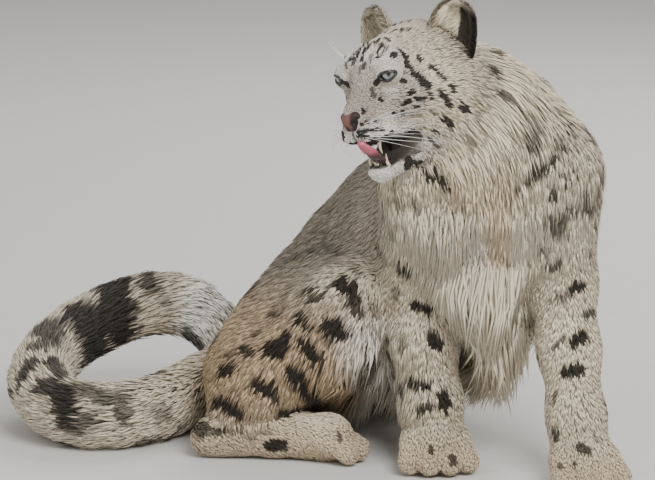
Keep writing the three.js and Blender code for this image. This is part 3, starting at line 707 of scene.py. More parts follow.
MUZZLE = [
    (363, 109, 364, 111, 2.6, 0.8), (372, 89, 374, 96, 2.2, 0.6), (380, 98, 382, 100, 1.8, 0.8),
    (362, 124, 364, 124, 1.7, 0.9), (367, 122, 369, 122, 1.8, 0.9), (375, 121, 378, 120, 1.8, 0.9),
    (380, 120, 382, 119, 1.5, 0.8), (358, 133, 362, 133, 2.1, 1), (364, 132, 369, 131, 2.1, 1),
    (371, 131, 377, 130, 2.1, 1), (380, 130, 384, 129, 1.7, 0.9), (390, 133, 392, 132, 1.4, 0.8),
    (358, 137, 361, 137, 1.6, 0.9), (364, 137, 369, 137, 1.8, 0.9), (371, 139, 376, 138, 1.8, 0.9),
    (386, 136, 392, 135, 1.4, 0.8),
]
CHIN = [
    (375, 161, 376, 161, 2, 0.9), (381, 162, 383, 162, 2, 0.9), (388, 160, 389, 160, 2, 0.8),
    (378, 166, 379, 166, 2.4, 0.9), (384, 165, 385, 165, 2, 0.8), (371, 165, 372, 165, 2, 0.8),
]
NECK = [
    (408, 164, 418, 161, 5, 1), (409, 162, 409, 167, 6, 1), (426, 175, 432, 178, 6, 1),
    (434, 179, 447, 186, 5, 1), (398, 190, 398, 192, 4, 0.6), (418, 207, 422, 211, 6, 0.6),
    (396, 230, 398, 236, 6, 0.5), (512, 116, 512, 119, 3.5, 0.8), (527, 136, 533, 136, 3.5, 0.5),
    (525, 149, 529, 152, 5, 0.8), (477, 199, 477, 206, 3.5, 0.3),
]
SHOULDER = [
    (517, 181, 530, 174, 5, 0.9), (530, 174, 552, 163, 5.5, 0.95), (562, 152, 566, 154, 4, 0.9),
    (549, 132, 552, 134, 3, 0.8), (571, 170, 571, 173, 3.5, 0.9), (561, 184, 566, 183, 4.5, 0.9),
    (551, 191, 553, 196, 5.5, 0.9), (583, 195, 583, 198, 3.5, 0.8), (566, 208, 574, 208, 4.5, 0.9),
    (553, 219, 560, 218, 5, 0.9), (590, 227, 592, 230, 3, 0.8), (587, 252, 587, 256, 3.5, 0.7),
    (550, 265, 557, 264, 3.5, 0.9), (543, 247, 548, 252, 3, 0.6), (521, 144, 530, 152, 6, 0.7),
    (490, 47, 492, 50, 5, 0.9), (491, 59, 494, 61, 6, 1), (491, 75, 493, 78, 6, 0.95),
    (497, 84, 498, 86, 4.5, 0.8), (504, 101, 507, 106, 6, 0.85), (532, 84, 536, 87, 4.5, 0.85),
    (533, 92, 536, 94, 5, 0.9), (527, 103, 529, 105, 4.5, 0.8), (551, 118, 552, 121, 4.5, 0.85),
    (560, 127, 562, 130, 4.5, 0.9), (567, 141, 568, 144, 4.5, 0.85), (554, 147, 557, 150, 5, 0.85),
    (527, 135, 534, 137, 6, 0.75), (582, 206, 586, 210, 5, 0.8), (556, 226, 558, 229, 5, 0.8),
]
RIGHT_FORELEG = [
    (405, 268, 411, 268, 4.5, 1), (397, 290, 397, 297, 5, 0.6), (417, 306, 427, 310, 7, 1),
    (431, 339, 436, 345, 8, 1), (405, 341, 405, 353, 4.5, 0.6), (416, 383, 426, 387, 7, 1),
    (404, 390, 405, 396, 5, 0.9), (444, 398, 446, 406, 7, 1), (421, 411, 430, 409, 4.5, 0.95),
    (460, 395, 462, 397, 3.5, 0.8), (431, 449, 431, 454, 3, 0.9), (452, 457, 454, 463, 4.5, 0.9),
]
LEFT_FORELEG = [
    (571, 289, 580, 286, 5, 1), (560, 300, 572, 291, 4, 0.7), (583, 316, 591, 313, 4, 0.9),
    (574, 343, 583, 338, 7, 1), (553, 350, 565, 340, 3, 0.8), (550, 302, 552, 304, 3, 0.6),
    (567, 374, 579, 372, 7, 1), (556, 396, 556, 404, 4.5, 0.8), (556, 433, 558, 440, 4.5, 0.9),
    (581, 448, 587, 452, 5, 0.9), (596, 439, 596, 442, 3.5, 0.6), (560, 467, 561, 469, 3.5, 0.8),
    (575, 465, 576, 467, 3, 0.8),
]
HAUNCH = [
    (308, 293, 317, 292, 4, 0.9), (313, 302, 323, 300, 4.5, 0.9), (302, 299, 304, 301, 3, 0.7),
    (341, 286, 350, 294, 9, 1), (351, 303, 355, 314, 6, 0.9), (369, 308, 371, 312, 4, 0.5),
    (302, 322, 308, 328, 7.5, 1), (326, 330, 331, 325, 5, 0.9), (330, 326, 341, 338, 10, 1),
    (324, 328, 333, 339, 3, 0.6), (306, 346, 315, 358, 8, 1), (273, 352, 283, 348, 11, 1),
    (276, 355, 280, 347, 9, 1), (255, 339, 259, 337, 5, 0.8), (243, 351, 251, 356, 7, 0.95),
    (224, 372, 232, 376, 8, 1), (224, 376, 233, 371, 7, 1), (291, 372, 298, 379, 9, 1),
    (299, 380, 307, 389, 7, 1), (259, 387, 268, 391, 9, 1), (269, 393, 276, 399, 5, 0.9),
    (323, 377, 323, 387, 5, 0.4), (218, 403, 228, 405, 7.5, 1), (228, 405, 241, 413, 8, 1),
    (282, 413, 293, 416, 9, 1), (290, 410, 295, 412, 7, 1), (304, 408, 312, 408, 6, 0.8),
    (218, 432, 226, 430, 5, 0.9), (369, 344, 369, 356, 5, 0.5), (340, 300, 345, 304, 3, 0.4),
    (228, 358, 236, 360, 4, 0.7), (206, 435, 250, 428, 4, 0.7), (262, 432, 270, 434, 4, 0.5),
    (236, 392, 240, 396, 4, 0.5),
]
FEET = [(271, 447, 283, 444, 6, 1), (339, 434, 339, 440, 4.5, 0.8), (250, 440, 256, 438, 3, 0.5)]
FLANK_SPOTS_AND_FOLD_SHADE = [
    (286, 297, 289, 299, 4, 0.6), (275, 317, 280, 320, 5, 0.8), (284, 309, 287, 312, 3.5, 0.5),
    (333, 212, 335, 216, 4, 0.45), (354, 185, 355, 188, 3, 0.3), (352, 203, 356, 205, 3, 0.3),
    (319, 231, 321, 235, 4, 0.35), (330, 232, 328, 245, 4, 0.4), (307, 240, 311, 244, 3, 0.4),
    (388, 206, 389, 220, 4, 0.5), (380, 246, 388, 262, 6, 0.45), (402, 200, 404, 208, 5, 0.6),
    # The last six rows are not spots but a painted shade line in the fold between the flank and the haunch.
    (285, 266, 300, 258, 4, 0.4), (300, 258, 314, 252, 4, 0.4), (314, 252, 330, 248, 5, 0.45),
    (330, 248, 343, 254, 5, 0.45), (343, 254, 351, 264, 5, 0.5), (351, 264, 357, 279, 4, 0.5),
]
TAIL_MARKS = [
    (110, 286, 117, 330, 17, 1), (84, 318, 94, 352, 15, 1), (72, 330, 82, 352, 8, 0.7),
    (149, 278, 149, 286, 9, 0.9), (20, 340, 28, 328, 9, 0.9), (28, 328, 46, 328, 9, 0.95),
    (46, 330, 48, 344, 9, 0.9), (48, 346, 36, 352, 8, 0.8), (30, 306, 58, 298, 8, 0.7),
    (9, 358, 15, 372, 6, 0.8), (26, 384, 32, 370, 8, 0.95), (34, 368, 54, 368, 7, 0.95),
    (56, 374, 60, 382, 7, 0.9), (44, 388, 52, 392, 8, 0.95), (64, 398, 66, 412, 9, 1),
    (72, 392, 94, 397, 6, 0.8), (78, 424, 90, 418, 6, 0.8), (96, 398, 104, 402, 6, 0.8),
    (117, 402, 119, 414, 7, 0.8), (101, 438, 111, 452, 9, 0.95), (143, 440, 150, 458, 10, 0.95),
    (168, 434, 178, 445, 8, 0.95), (168, 430, 176, 424, 5, 0.8), (188, 428, 190, 440, 6, 0.8),
    (54, 436, 62, 442, 7, 0.8), (148, 408, 165, 416, 5, 0.5), (190, 332, 202, 342, 8, 0.9),
    (199, 427, 203, 430, 6, 0.9), (160, 296, 166, 300, 5, 0.4),
]
ALL_SEEN = (FOREHEAD + BROW + CHEEK + MUZZLE + CHIN + NECK + SHOULDER + RIGHT_FORELEG + LEFT_FORELEG
            + HAUNCH + FEET + FLANK_SPOTS_AND_FOLD_SHADE + TAIL_MARKS)
FACE_SPOTS = len(FOREHEAD + BROW + CHEEK + MUZZLE + CHIN)
SPREAD = 1.36
# How much wider or stronger than read the streaks are drawn, so that they show in the coat.
TAIL_SPREAD = 1.45
FINE_WIDTH = 3
FINE_SPREAD = 1.1
BODY_SPREAD = 1.3
FACE_STRENGTH = 1.3
CAST_STEP = 5
LONGEST_STEP = 40
# The spots strewn where the camera does not look: for each part the room between them, the half
# length and half width of one, and the radius of a ring where they are rosettes, in millimetres.
STREWN = {
    "torso": (50, 5, 7, 13), "neck": (36, 4, 5, 0), "foreleg": (34, 5, 5.5, 0), "forepaw": (24, 1.5, 3.5, 0),
    "thigh": (42, 4, 6, 8), "hindfoot": (28, 2, 4, 0), "hindpaw": (24, 1.5, 3.5, 0), "tail": (44, 8, 9, 0),
    "head": (22, 2, 2.6, 0), "jaw": (30, 1, 2, 0),
}


def cast(pixels):
    """Where the lines of sight through pixels first meet the skin, and whether they do."""
    viewpoint, rays = sight(pixels)
    gone = np.full(len(rays), VIEW_DISTANCE - 12 * FAR)
    for _ in range(90):
        here = over_skin(viewpoint + rays * gone[:, None])
        gone += 0.7 * np.minimum(here, 0.8 * FAR)
    return viewpoint + rays * gone[:, None], np.abs(here) < 2


def seen_spots():
    """Rows (start, end, half width, ring radius, strength) of the spots given in pixels, and of the painted
    shade line in the fold over the haunch. A long streak is cast in steps, so that it follows the skin, and
    the head's are set on its other side as well."""
    given, on_face = [], []
    for number, (x0, y0, x1, y1, width, strength) in enumerate(ALL_SEEN):
        steps = max(1, round(math.hypot(x1 - x0, y1 - y0) / CAST_STEP))
        at = np.linspace(0, 1, steps + 1)
        ends = np.stack([x0 + (x1 - x0) * at, y0 + (y1 - y0) * at], axis=1)
        width *= TAIL_SPREAD if number >= len(ALL_SEEN) - len(TAIL_MARKS) else 1
        width += FINE_SPREAD * (width < FINE_WIDTH)
        width *= BODY_SPREAD if number >= FACE_SPOTS else 1
        strength = min(1, FACE_STRENGTH * strength) if number < FACE_SPOTS else strength
        given += [(*ends[k], *ends[k + 1], width, strength) for k in range(steps)]
        on_face += [number < FACE_SPOTS] * steps
    given = np.array(given)
    starts, hit = cast(given[:, :2])
    ends, also = cast(given[:, 2:4])
    good = hit & also & (np.linalg.norm(starts - ends, axis=1) < LONGEST_STEP)
    half = given[:, 4] / 2 * MM_PER_PIXEL * SPREAD
    made = []
    for a, b, h, k, ok, face in zip(starts, ends, half, given[:, 5], good, on_face):
        if not ok:
            continue
        made.append((a, b, h, 0.0, k))
        pair = to_head(np.stack([a, b]))
        if face and pair[:, 1].min() > 10:
            made.append((head(*(pair[0] * (1, -1, 1))), head(*(pair[1] * (1, -1, 1))), h, 0.0, k))
    return made


def strewn_spots(skin_points, skin_normals, taken):
    """More rows like them, strewn over skin that the camera does not see, clear of those taken."""
    draws = np.random.default_rng(4)
    order = draws.permutation(len(skin_points))[:9000]
    points, normals = skin_points[order], skin_normals[order]
    near = near_parts(points)
    owners = near.argmin(axis=0)
    view = AIM + BACKWARDS * VIEW_DISTANCE - points
    view /= np.linalg.norm(view, axis=1, keepdims=True)
    hidden = (normals * view).sum(axis=1) < 0.12
    for step in (15, 40, 80, 130, 190, 260):
        hidden |= over_skin(points + normals * 6 + view * step) < 0
    local = to_head(points)
    front = np.zeros(len(points), bool)
    for row, name in enumerate(PARTS):
        if name in ("head", "jaw"):
            front |= (owners == row) & ((np.abs(local[:, 1]) < 48) | (local[:, 0] > 0))
    belly = (normals[:, 2] < -0.45) & (near[PARTS.index("torso")] < 5)
    lies = lie_of_coat(points, near, normals)
    middles = [(a + b) / 2 for a, b, _, _, _ in taken]
    rooms = [10.0] * len(middles)
    share = along_tail(points)
    made = []
    for i in np.flatnonzero(hidden & ~front & ~belly & (share < 0.93) & (points[:, 2] > 6)):
        room, length, half, ring = STREWN[PARTS[owners[i]].split("_")[0]]
        gaps = np.linalg.norm(np.array(middles) - points[i], axis=1)
        if (gaps < room * 0.62 + np.array(rooms) * 0.5).any():
            continue
        size = draws.uniform(0.7, 1.25)
        along = lies[i] * length * size
        made.append((points[i] - along, points[i] + along, half * size, ring * size, draws.uniform(0.7, 1)))
        middles.append(points[i])
        rooms.append(room)
    return made


def spotted(points, spots):
    """How dark the spots make each point: a spot's strength within 0.8 of its half width from its streak
    or ring, fading out at 1.25 of it, with a ragged edge and with gaps in the rings."""
    found = np.zeros(len(points))
    ragged = 1 + 0.30 * ripple(points, 4.5, 21) + 0.12 * ripple(points, 2, 22)
    gaps = ease(-0.35, 0.05, ripple(points, 7, 23))
    bent = 1 + 0.28 * ripple(points, 11, 24)
    for a, b, half, ring, strength in spots:
        reach = np.linalg.norm(b - a) / 2 + half * 1.6 + ring
        near = np.flatnonzero((np.abs(points - (a + b) / 2) < reach).all(axis=1))
        if not len(near):
            continue
        off = points[near] - a
        run = b - a
        t = np.clip(off @ run / max(run @ run, 1e-6), 0, 1)
        away = np.linalg.norm(off - t[:, None] * run, axis=1)
        value = ease(1.25, 0.8, np.abs(away * bent[near] - ring) / half * ragged[near]) * strength
        if ring > 0:
            value *= gaps[near]
        found[near] = np.maximum(found[near], value)
    return found


def face_colour(points, normals):
    """The head's ground colour: grey crown, pinkish bridge, pale brows, cream cheeks, white lips, and painted
    shade on the mouth's lining.
    """
    local = to_head(points)
    x, y, z = local[:, 0], np.abs(local[:, 1]), local[:, 2]
    made = np.tile(np.array(WHITE) * 0.78, (len(points), 1))
    made = mix(made, CREAM, 0.25 + 0.6 * ease(40, 0, x))
    made = mix(made, GREY, 0.5 * ease(34, 54, z) * ease(40, 10, x))
    made = mix(made, OCHRE, 0.38 * ease(-5, -50, x) * ease(35, 60, y) * ease(-70, -20, z) * ease(45, 10, z))
    made = mix(made, GREY, 0.6 * ease(-20, -62, x))
    made = mix(made, GREY, 0.65 * ease(-34, -16, z) * ease(36, 18, z) * ease(-5, 25, x))
    made = mix(made, BUFF, 0.45 * ease(44, 0, x) * ease(0, -50, z))
    made = mix(made, BRIDGE, 0.65 * ease(40, 60, x) * ease(26, 12, y) * ease(-30, -8, z))
    made = mix(made, GREY, 0.45 * np.exp(-(((x - 50) / 16) ** 2 + ((z - 5) / 14) ** 2)))
    brow = np.exp(-(((x - 40) / 11) ** 2 + ((y - 36) / 12) ** 2 + ((z - 50) / 6) ** 2))
    made = mix(made, WHITE, 0.9 * brow)
    under_eye = np.exp(-(((x - 52) / 10) ** 2 + ((y - 36) / 10) ** 2 + ((z - 8) / 7) ** 2))
    made = mix(made, WHITE, 0.6 * under_eye)
    made = mix(made, WHITE, 0.85 * ease(50, 70, x) * ease(-12, -30, z))
    made = mix(made, WHITE, 0.8 * ease(-50, -72, z) * ease(-20, 20, x))
    mirrored = np.stack([x, y, z], axis=1)
    corner, tip = place(60, 31, 29), place(59, 21, 22.5)
    along = np.clip((mirrored - corner) @ (tip - corner) / ((tip - corner) @ (tip - corner)), 0, 1)
    tear = np.linalg.norm(mirrored - corner - along[:, None] * (tip - corner), axis=1)
    made = mix(made, SOOT, 0.95 * ease(4.6, 3, tear))
    for s in (1, -1):
        beyond, reach = outside_almond(points, s)
        made = mix(made, SOOT, 0.95 * ease(3.2, 1.6, beyond) * (reach < 1.5 * EYE_RADIUS))
    philtrum = ease(1.8, 0.9, y) * ease(90, 96, x) * ease(-16, -19, z)
    made = mix(made, SOOT, 0.85 * philtrum)
    lower_lip = ease(-81, -77, z) * ease(-58, -64, z) * ease(15, 35, x)
    made = mix(made, SOOT, 0.92 * lower_lip)
    # Painted shade: the lining inside the mouth is made near-black.
    return mix(made, MOUTH_SHADE, in_mouth(points, normals))


def in_mouth(points, normals):
    """1 on the lining of the mouth, behind the lips: the roof faces down and the floor up."""
    local = to_head(points)
    facing = normals @ HEAD_AXES[:, 2]
    rows = near_parts(points)[[PARTS.index("head"), PARTS.index("jaw")]]
    roof = (rows[0] < rows[1]) * ease(-0.30, -0.62, facing) * ease(-20, -8, local[:, 0])
    floor = (rows[1] <= rows[0]) * ease(0.25, 0.6, facing)
    floor = floor * ease(-20, -8, local[:, 0]) * ease(72, 66, local[:, 0])
    both_near = ease(9, 5, np.maximum(rows[0], rows[1])) * ease(0, 8, local[:, 0])
    between_jaws = (local[:, 2] > -84) & (local[:, 2] < -34) & (np.abs(local[:, 1]) < 34)
    return np.maximum(np.maximum(roof, floor), both_near) * between_jaws


def skirt(points):
    """1 along the knee and the flank's lower edge, where long pale hair hangs over the hind foot."""
    x, y, z = points.T
    return ease(-10, 40, x) * ease(150, 100, x) * ease(150, 110, y) * ease(215, 170, z) * ease(60, 90, z)


def ground_colour(points, parts, normals):
    """The coat's colour with no spots, by part and by how far down and forward each point lies."""
    weights = part_weights(parts)
    torso, neck = of_part(weights, "torso"), of_part(weights, "neck")
    x, y, z = points.T
    made = np.tile(np.array(GREY), (len(points), 1))
    made = mix(made, SMOKE, 0.55 * ease(0.2, 0.9, normals[:, 2]) * (torso + neck))
    flank = torso * ease(90, 20, x)
    made = mix(made, SMOKE, 0.45 * flank)
    breast = ease(70, -10, y - 0.25 * (x - 213)) * (torso + neck)
    made = mix(made, CREAM, 0.85 * breast)
    parting = np.exp(-(((x - 222) / 22) ** 2)) + 0.5 * np.exp(-(((x - 170) / 14) ** 2))
    made = mix(made, OCHRE, 0.55 * breast * parting * ease(190, 260, z) * ease(440, 380, z))
    made = mix(made, BUFF, 0.5 * breast * ease(300, 400, z) * ease(215, 150, x))
    made = mix(made, WHITE, 0.8 * breast * ease(380, 290, z) * (1 - parting).clip(0, 1))
    under = torso * ease(-0.1, -0.6, normals[:, 2])
    made = mix(made, CREAM, 0.7 * under)
    made = mix(made, WHITE, 0.4 * neck * (1 - breast))
    legs = of_part(weights, "foreleg")
    made = mix(made, CREAM, (0.35 + 0.45 * ease(0.1, -0.8, normals[:, 1])) * legs)
    thighs = of_part(weights, "thigh")
    made = mix(made, BUFF, 0.75 * thighs * ease(250, 150, z))
    made = mix(made, OCHRE, 0.45 * thighs * ease(170, 60, z) * ease(0.4, -0.4, normals[:, 1]))
    made = mix(made, CREAM, 0.5 * thighs * ease(190, 240, z) * ease(0.2, -0.5, normals[:, 1]))
    made = mix(made, WHITE, 0.75 * np.clip(thighs + torso, 0, 1) * skirt(points))
    paws = of_part(weights, "forepaw") + of_part(weights, "hindpaw") + of_part(weights, "hindfoot")
    made = mix(made, CREAM, 0.85 * paws)
    made = mix(made, BUFF, 0.45 * paws * ease(75, 20, z))
    tail = of_part(weights, "tail")
    made = mix(made, CREAM, 0.42 * tail)
    made = mix(made, WHITE, tail * ease(0.885, 0.925, along_tail(points)))
    face = of_part(weights, "head") + of_part(weights, "jaw")
    made = mix(made, face_colour(points, normals), face)
    return np.clip(made * (1 + 0.10 * ripple(points, 28, 3)[:, None]), 0, 1)


def marked(points, parts, normals):
    """The coat's colour at points of the skin, spots and bands included, and the painted shade line in the
    fold over the haunch.
    """
    made = ground_colour(points, parts, normals)
    return mix(made, SOOT, 0.98 * spotted(points, SPOTS))


def paint(piece, points, colours):
    """Gives a mesh its colours, one for each point, as the attribute coat."""
    layer = piece.data.color_attributes.new("coat", "FLOAT_COLOR", "POINT")
    rgba = np.c_[colours, np.ones(len(colours))].astype(np.float32)
    layer.data.foreach_set("color", rgba.ravel())


def new_material(name, roughness):
    """A material with its shader, ready for nodes."""
    made = bpy.data.materials.new(name)
    made.use_nodes = True
    shader = made.node_tree.nodes["Principled BSDF"]
    shader.inputs["Roughness"].default_value = roughness
    return made, made.node_tree.nodes, made.node_tree.links, shader


def furred(name, roughness, grain, depth, strands=None):
    """Fur: the painted colours, broken up by fine noise, over a bumped surface. On a tuft the noise is
    drawn out along the hair, in the tuft's own patch of the layout."""
    made, nodes, links, shader = new_material(name, roughness)
    colour = nodes.new("ShaderNodeAttribute")
    colour.attribute_name = "coat"
    noise = nodes.new("ShaderNodeTexNoise")
    noise.inputs["Scale"].default_value = grain
    noise.inputs["Detail"].default_value = 3
    if strands is None:
        where = nodes.new("ShaderNodeTexCoord")
        links.new(where.outputs["Object"], noise.inputs["Vector"])
    else:
        layout = nodes.new("ShaderNodeUVMap")
        layout.uv_map = "OFBake"
        stretch = nodes.new("ShaderNodeMapping")
        stretch.inputs["Scale"].default_value = (strands, strands * 0.12, 1)
        links.new(layout.outputs["UV"], stretch.inputs["Vector"])
        links.new(stretch.outputs["Vector"], noise.inputs["Vector"])
    shade = nodes.new("ShaderNodeMix")
    shade.data_type = "RGBA"
    shade.blend_type = "SOFT_LIGHT"
    shade.inputs["Factor"].default_value = 0.7
    links.new(colour.outputs["Color"], shade.inputs[6])
    links.new(noise.outputs["Fac"], shade.inputs[7])
    links.new(shade.outputs[2], shader.inputs["Base Color"])
    bump = nodes.new("ShaderNodeBump")
    bump.inputs["Distance"].default_value = depth
    bump.inputs["Strength"].default_value = 0.6
    links.new(noise.outputs["Fac"], bump.inputs["Height"])
    links.new(bump.outputs["Normal"], shader.inputs["Normal"])
    shader.inputs["Sheen Weight"].default_value = 0.08
    shader.inputs["Sheen Roughness"].default_value = 0.6
    shader.inputs["Specular IOR Level"].default_value = 0.1
    return made


skin_points = points_of(skin.data)
skin_parts = near_parts(skin_points)
skin_normals = slope(skin_points)
SPOTS = seen_spots()
SPOTS += strewn_spots(skin_points, skin_normals, SPOTS)
skin_colours = marked(skin_points, skin_parts, skin_normals)
paint(skin, skin_points, skin_colours * 0.8)
skin.data.materials.append(furred("short_fur", 0.8, 900, 0.0006))
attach(skin, "root")
FLESH_NODES = [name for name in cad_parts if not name.startswith(("ear", "eye", "nose", "tongue"))]
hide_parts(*FLESH_NODES)

# The coat. Tufts stand all over the skin, each a thin blade of three or four stations with a ridge on
# top. A tuft leaves its root, rises to its share of the coat's depth and lies along the body towards
# the hind end, the feet and the tail tip. Neighbours' tips draw together in clumps.
COAT = {
    "torso": {"length": 27, "width": 4.2, "room": 10.0, "rise": 0.28, "clump": 13},
    "neck": {"length": 32, "width": 4.4, "room": 10.5, "rise": 0.30, "clump": 13},
    "foreleg": {"length": 15, "width": 3.3, "room": 7.6, "rise": 0.26, "clump": 8},
    "forepaw": {"length": 8, "width": 2.5, "room": 4.8, "rise": 0.28, "clump": 5},
    "thigh": {"length": 24, "width": 4.0, "room": 9.2, "rise": 0.28, "clump": 11},
    "hindfoot": {"length": 10, "width": 2.8, "room": 5.6, "rise": 0.28, "clump": 6},
    "hindpaw": {"length": 8, "width": 2.5, "room": 4.8, "rise": 0.28, "clump": 5},
    "tail": {"length": 33, "width": 4.8, "room": 11.0, "rise": 0.30, "clump": 12},
    "head": {"length": 10, "width": 2.1, "room": 3.7, "rise": 0.24, "clump": 5},
    "jaw": {"length": 8, "width": 2.0, "room": 3.6, "rise": 0.28, "clump": 5},
}


def coat_table(key):
    """One column of the coat's sizes, a value for each part."""
    return np.array([COAT[name.split("_")[0]][key] for name in PARTS], float)


def triangles_of(piece):
    """The three corners of every triangle of a mesh, on the plan."""
    mesh = piece.data
    mesh.calc_loop_triangles()
    corners = np.empty(len(mesh.loop_triangles) * 3, np.int32)
    mesh.loop_triangles.foreach_get("vertices", corners)
    return points_of(mesh)[corners.reshape(-1, 3)]


def sow(corners, room, rng):
    """Roots strewn over triangles, one to each room of square millimetres."""
    areas = np.linalg.norm(np.cross(corners[:, 1] - corners[:, 0], corners[:, 2] - corners[:, 0]), axis=1) / 2
    wanted = areas / room
    counts = np.floor(wanted + rng.uniform(size=len(wanted))).astype(int)
    chosen = np.repeat(np.arange(len(corners)), counts)
    u, v = rng.uniform(size=(2, len(chosen)))
    over = u + v > 1
    u[over], v[over] = 1 - u[over], 1 - v[over]
    a, b, c = corners[chosen, 0], corners[chosen, 1], corners[chosen, 2]
    return a + (b - a) * u[:, None] + (c - a) * v[:, None]


COLUMNS, SHELVES = 5, 4
LAYOUT_STEPS = 60


def unwrap(points, parts):
    """Each root's place on a flat layout of the skin: a cell for each part, with the share of the
    part's line across it and the way round the line up it."""
    nearest = parts.argmin(axis=0)
    made = np.zeros((len(points), 2))
    for row, name in enumerate(PARTS):
        chosen = nearest == row
        if not chosen.any():
            continue
        line, up = SHEATHS[name][0], SHEATHS[name][1]
        dense = curve(np.asarray(line, float), np.linspace(0, 1, LAYOUT_STEPS))
        gaps = ((points[chosen][:, None] - dense[None]) ** 2).sum(axis=2)
        share = gaps.argmin(axis=1)
        ways = np.gradient(dense, axis=0)[share]
        off = points[chosen] - dense[share]
        side = np.cross(ways, up)
        around = np.arctan2((off * side).sum(axis=1) / np.linalg.norm(side, axis=1), off @ up)
        beyond = (off * ways).sum(axis=1) / np.linalg.norm(ways, axis=1)
        across = np.clip(share / (LAYOUT_STEPS - 1) * 0.8 + 0.1 + beyond / 900, 0.01, 0.99)
        column, shelf = row % COLUMNS, row // COLUMNS
        made[chosen, 0] = (column + 0.04 + across * 0.92) / COLUMNS
        made[chosen, 1] = (shelf + 0.04 + (around / (2 * math.pi) + 0.5) * 0.92) / SHELVES
    return made


PATCH = 0.003
RIDGE = 0.22


def tufts(name, stations, roots, normals, lies, sizes, colours, layout, over=over_skin, clump=None):
    """One coat piece: for every root a closed blade whose stations are three points, two edges and a
    ridge, at shares of its length, with the given widths and heights as shares; then a point."""
    lengths, widths, rises = sizes
    shares, wides, highs = (np.array(row, float) for row in stations)
    count, steps = len(roots), len(shares)
    heights = np.maximum(highs[None] * rises[:, None] * lengths[:, None], -1.6)
    path = roots[:, None] + lies[:, None] * (lengths[:, None] * shares[None])[..., None]
    path = path + normals[:, None] * heights[..., None]
    if over is not None:
        flat = path[:, 1:].reshape(-1, 3)
        for _ in range(2):
            here = over(flat)
            lift = np.clip(heights[:, 1:].ravel() - here, -14, 14)
            flat = flat + slope(flat, here) * lift[:, None]
        path[:, 1:] = flat.reshape(count, steps - 1, 3)
    if clump is not None:
        cells = np.floor(roots / clump + 0.35 * np.sin(roots[:, [1, 2, 0]] / clump * 2.1)).astype(int)
        _, member = np.unique(cells @ np.array([1, 1009, 1009 * 1013]), return_inverse=True)
        member = member.ravel()
        sums = np.stack([np.bincount(member, path[:, -1, k]) for k in range(3)], axis=1)
        middle = sums[member] / np.bincount(member)[member][:, None]
        path += (middle - path[:, -1])[:, None] * (0.38 * shares**1.5)[None, :, None]
    path[..., 2] = np.maximum(path[..., 2], 0.3)
    run = np.gradient(path, axis=1)
    edge = np.cross(run, normals[:, None])
    edge /= np.maximum(np.linalg.norm(edge, axis=2, keepdims=True), 1e-9)
    top = np.cross(edge, run)
    top /= np.maximum(np.linalg.norm(top, axis=2, keepdims=True), 1e-9)
    half = (widths[:, None] * wides[None] / 2)[..., None]
    rings = np.stack([path - edge * half, path + edge * half, path + top * half * 2 * RIDGE], axis=2)
    points = np.concatenate([rings[:, :-1].reshape(count, -1, 3), path[:, -1:]], axis=1)
    per = points.shape[1]
    tri = [(0, 2, 1)]
    for ring in range(steps - 2):
        for j in range(3):
            a, b = ring * 3 + j, ring * 3 + (j + 1) % 3
            tri += [(a, b, b + 3), (a, b + 3, a + 3)]
    last = (steps - 2) * 3
    tri += [(last + j, last + (j + 1) % 3, per - 1) for j in range(3)]
    tri = np.array(tri)
    faces = (np.arange(count)[:, None, None] * per + tri[None]).reshape(-1, 3)
    mesh = bpy.data.meshes.new(name)
    mesh.vertices.add(count * per)
    mesh.vertices.foreach_set("co", (points.reshape(-1, 3) * MM + PLAN_AT).astype(np.float32).ravel())
    mesh.loops.add(faces.size)
    mesh.loops.foreach_set("vertex_index", faces.astype(np.int32).ravel())
    mesh.polygons.add(len(faces))
    mesh.polygons.foreach_set("loop_start", np.arange(0, faces.size, 3, dtype=np.int32))
    mesh.update(calc_edges=True)
    mesh.shade_smooth()
    up_share = np.r_[np.repeat(shares[:-1], 3), 1.0]
    sideways = np.r_[np.tile([0.0, 1.0, 0.5], steps - 1), 0.5]
    flat_map = layout[:, None] + PATCH * np.stack([sideways - 0.5, up_share - 0.5], axis=1)[None]
    bake = mesh.uv_layers.new(name="OFBake")
    bake.data.foreach_set("uv", flat_map.reshape(-1, 2)[faces.ravel()].astype(np.float32).ravel())
    made = bpy.data.objects.new(name, mesh)
    bpy.context.scene.collection.objects.link(made)
    shades = colours[:, None] * (0.74 + 0.34 * up_share)[None, :, None]
    paint(made, None, np.clip(shades, 0, 1).reshape(-1, 3))
    mesh.materials.append(LONG_FUR)
    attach(made, "root")


NOSE = [
    *both(lambda s: lump((96, 6 * s, -6), (99, 3 * s, -17), 7.5, 5, 5)),
    lump((92, 0, -5), (102, 0, -9), 8, 7.5, 6),
]


def furry(points, normals):
    """True where hair grows: not in the mouth, in the eyes' openings or under the nose."""
    grows = in_mouth(points, normals) < 0.25
    grows &= near_masses(points, NOSE) > 0.5
    for s in (1, -1):
        beyond, reach = outside_almond(points, s)
        grows &= (beyond > 0.8) | (reach > 2 * EYE_RADIUS)
    return grows


def face_length(points, weights):
    """How the head's hair grows from short on the muzzle and lids to long in the ruffs."""
    local = to_head(points)
    x, y, z = local[:, 0], np.abs(local[:, 1]), local[:, 2]
    share = 0.55 + 0.45 * ease(66, 20, x) + 0.5 * ease(5, -45, x)
    share = share + 1.1 * ease(10, -40, x) * ease(-5, -45, z)
    by_eye = np.linalg.norm(np.stack([x, y, z], axis=1) - np.array(EYE_AT), axis=1)
    share = share * (0.5 + 0.5 * ease(15, 30, by_eye))
    head_weight = of_part(weights, "head") + of_part(weights, "jaw")
    return 1 + (share - 1) * head_weight


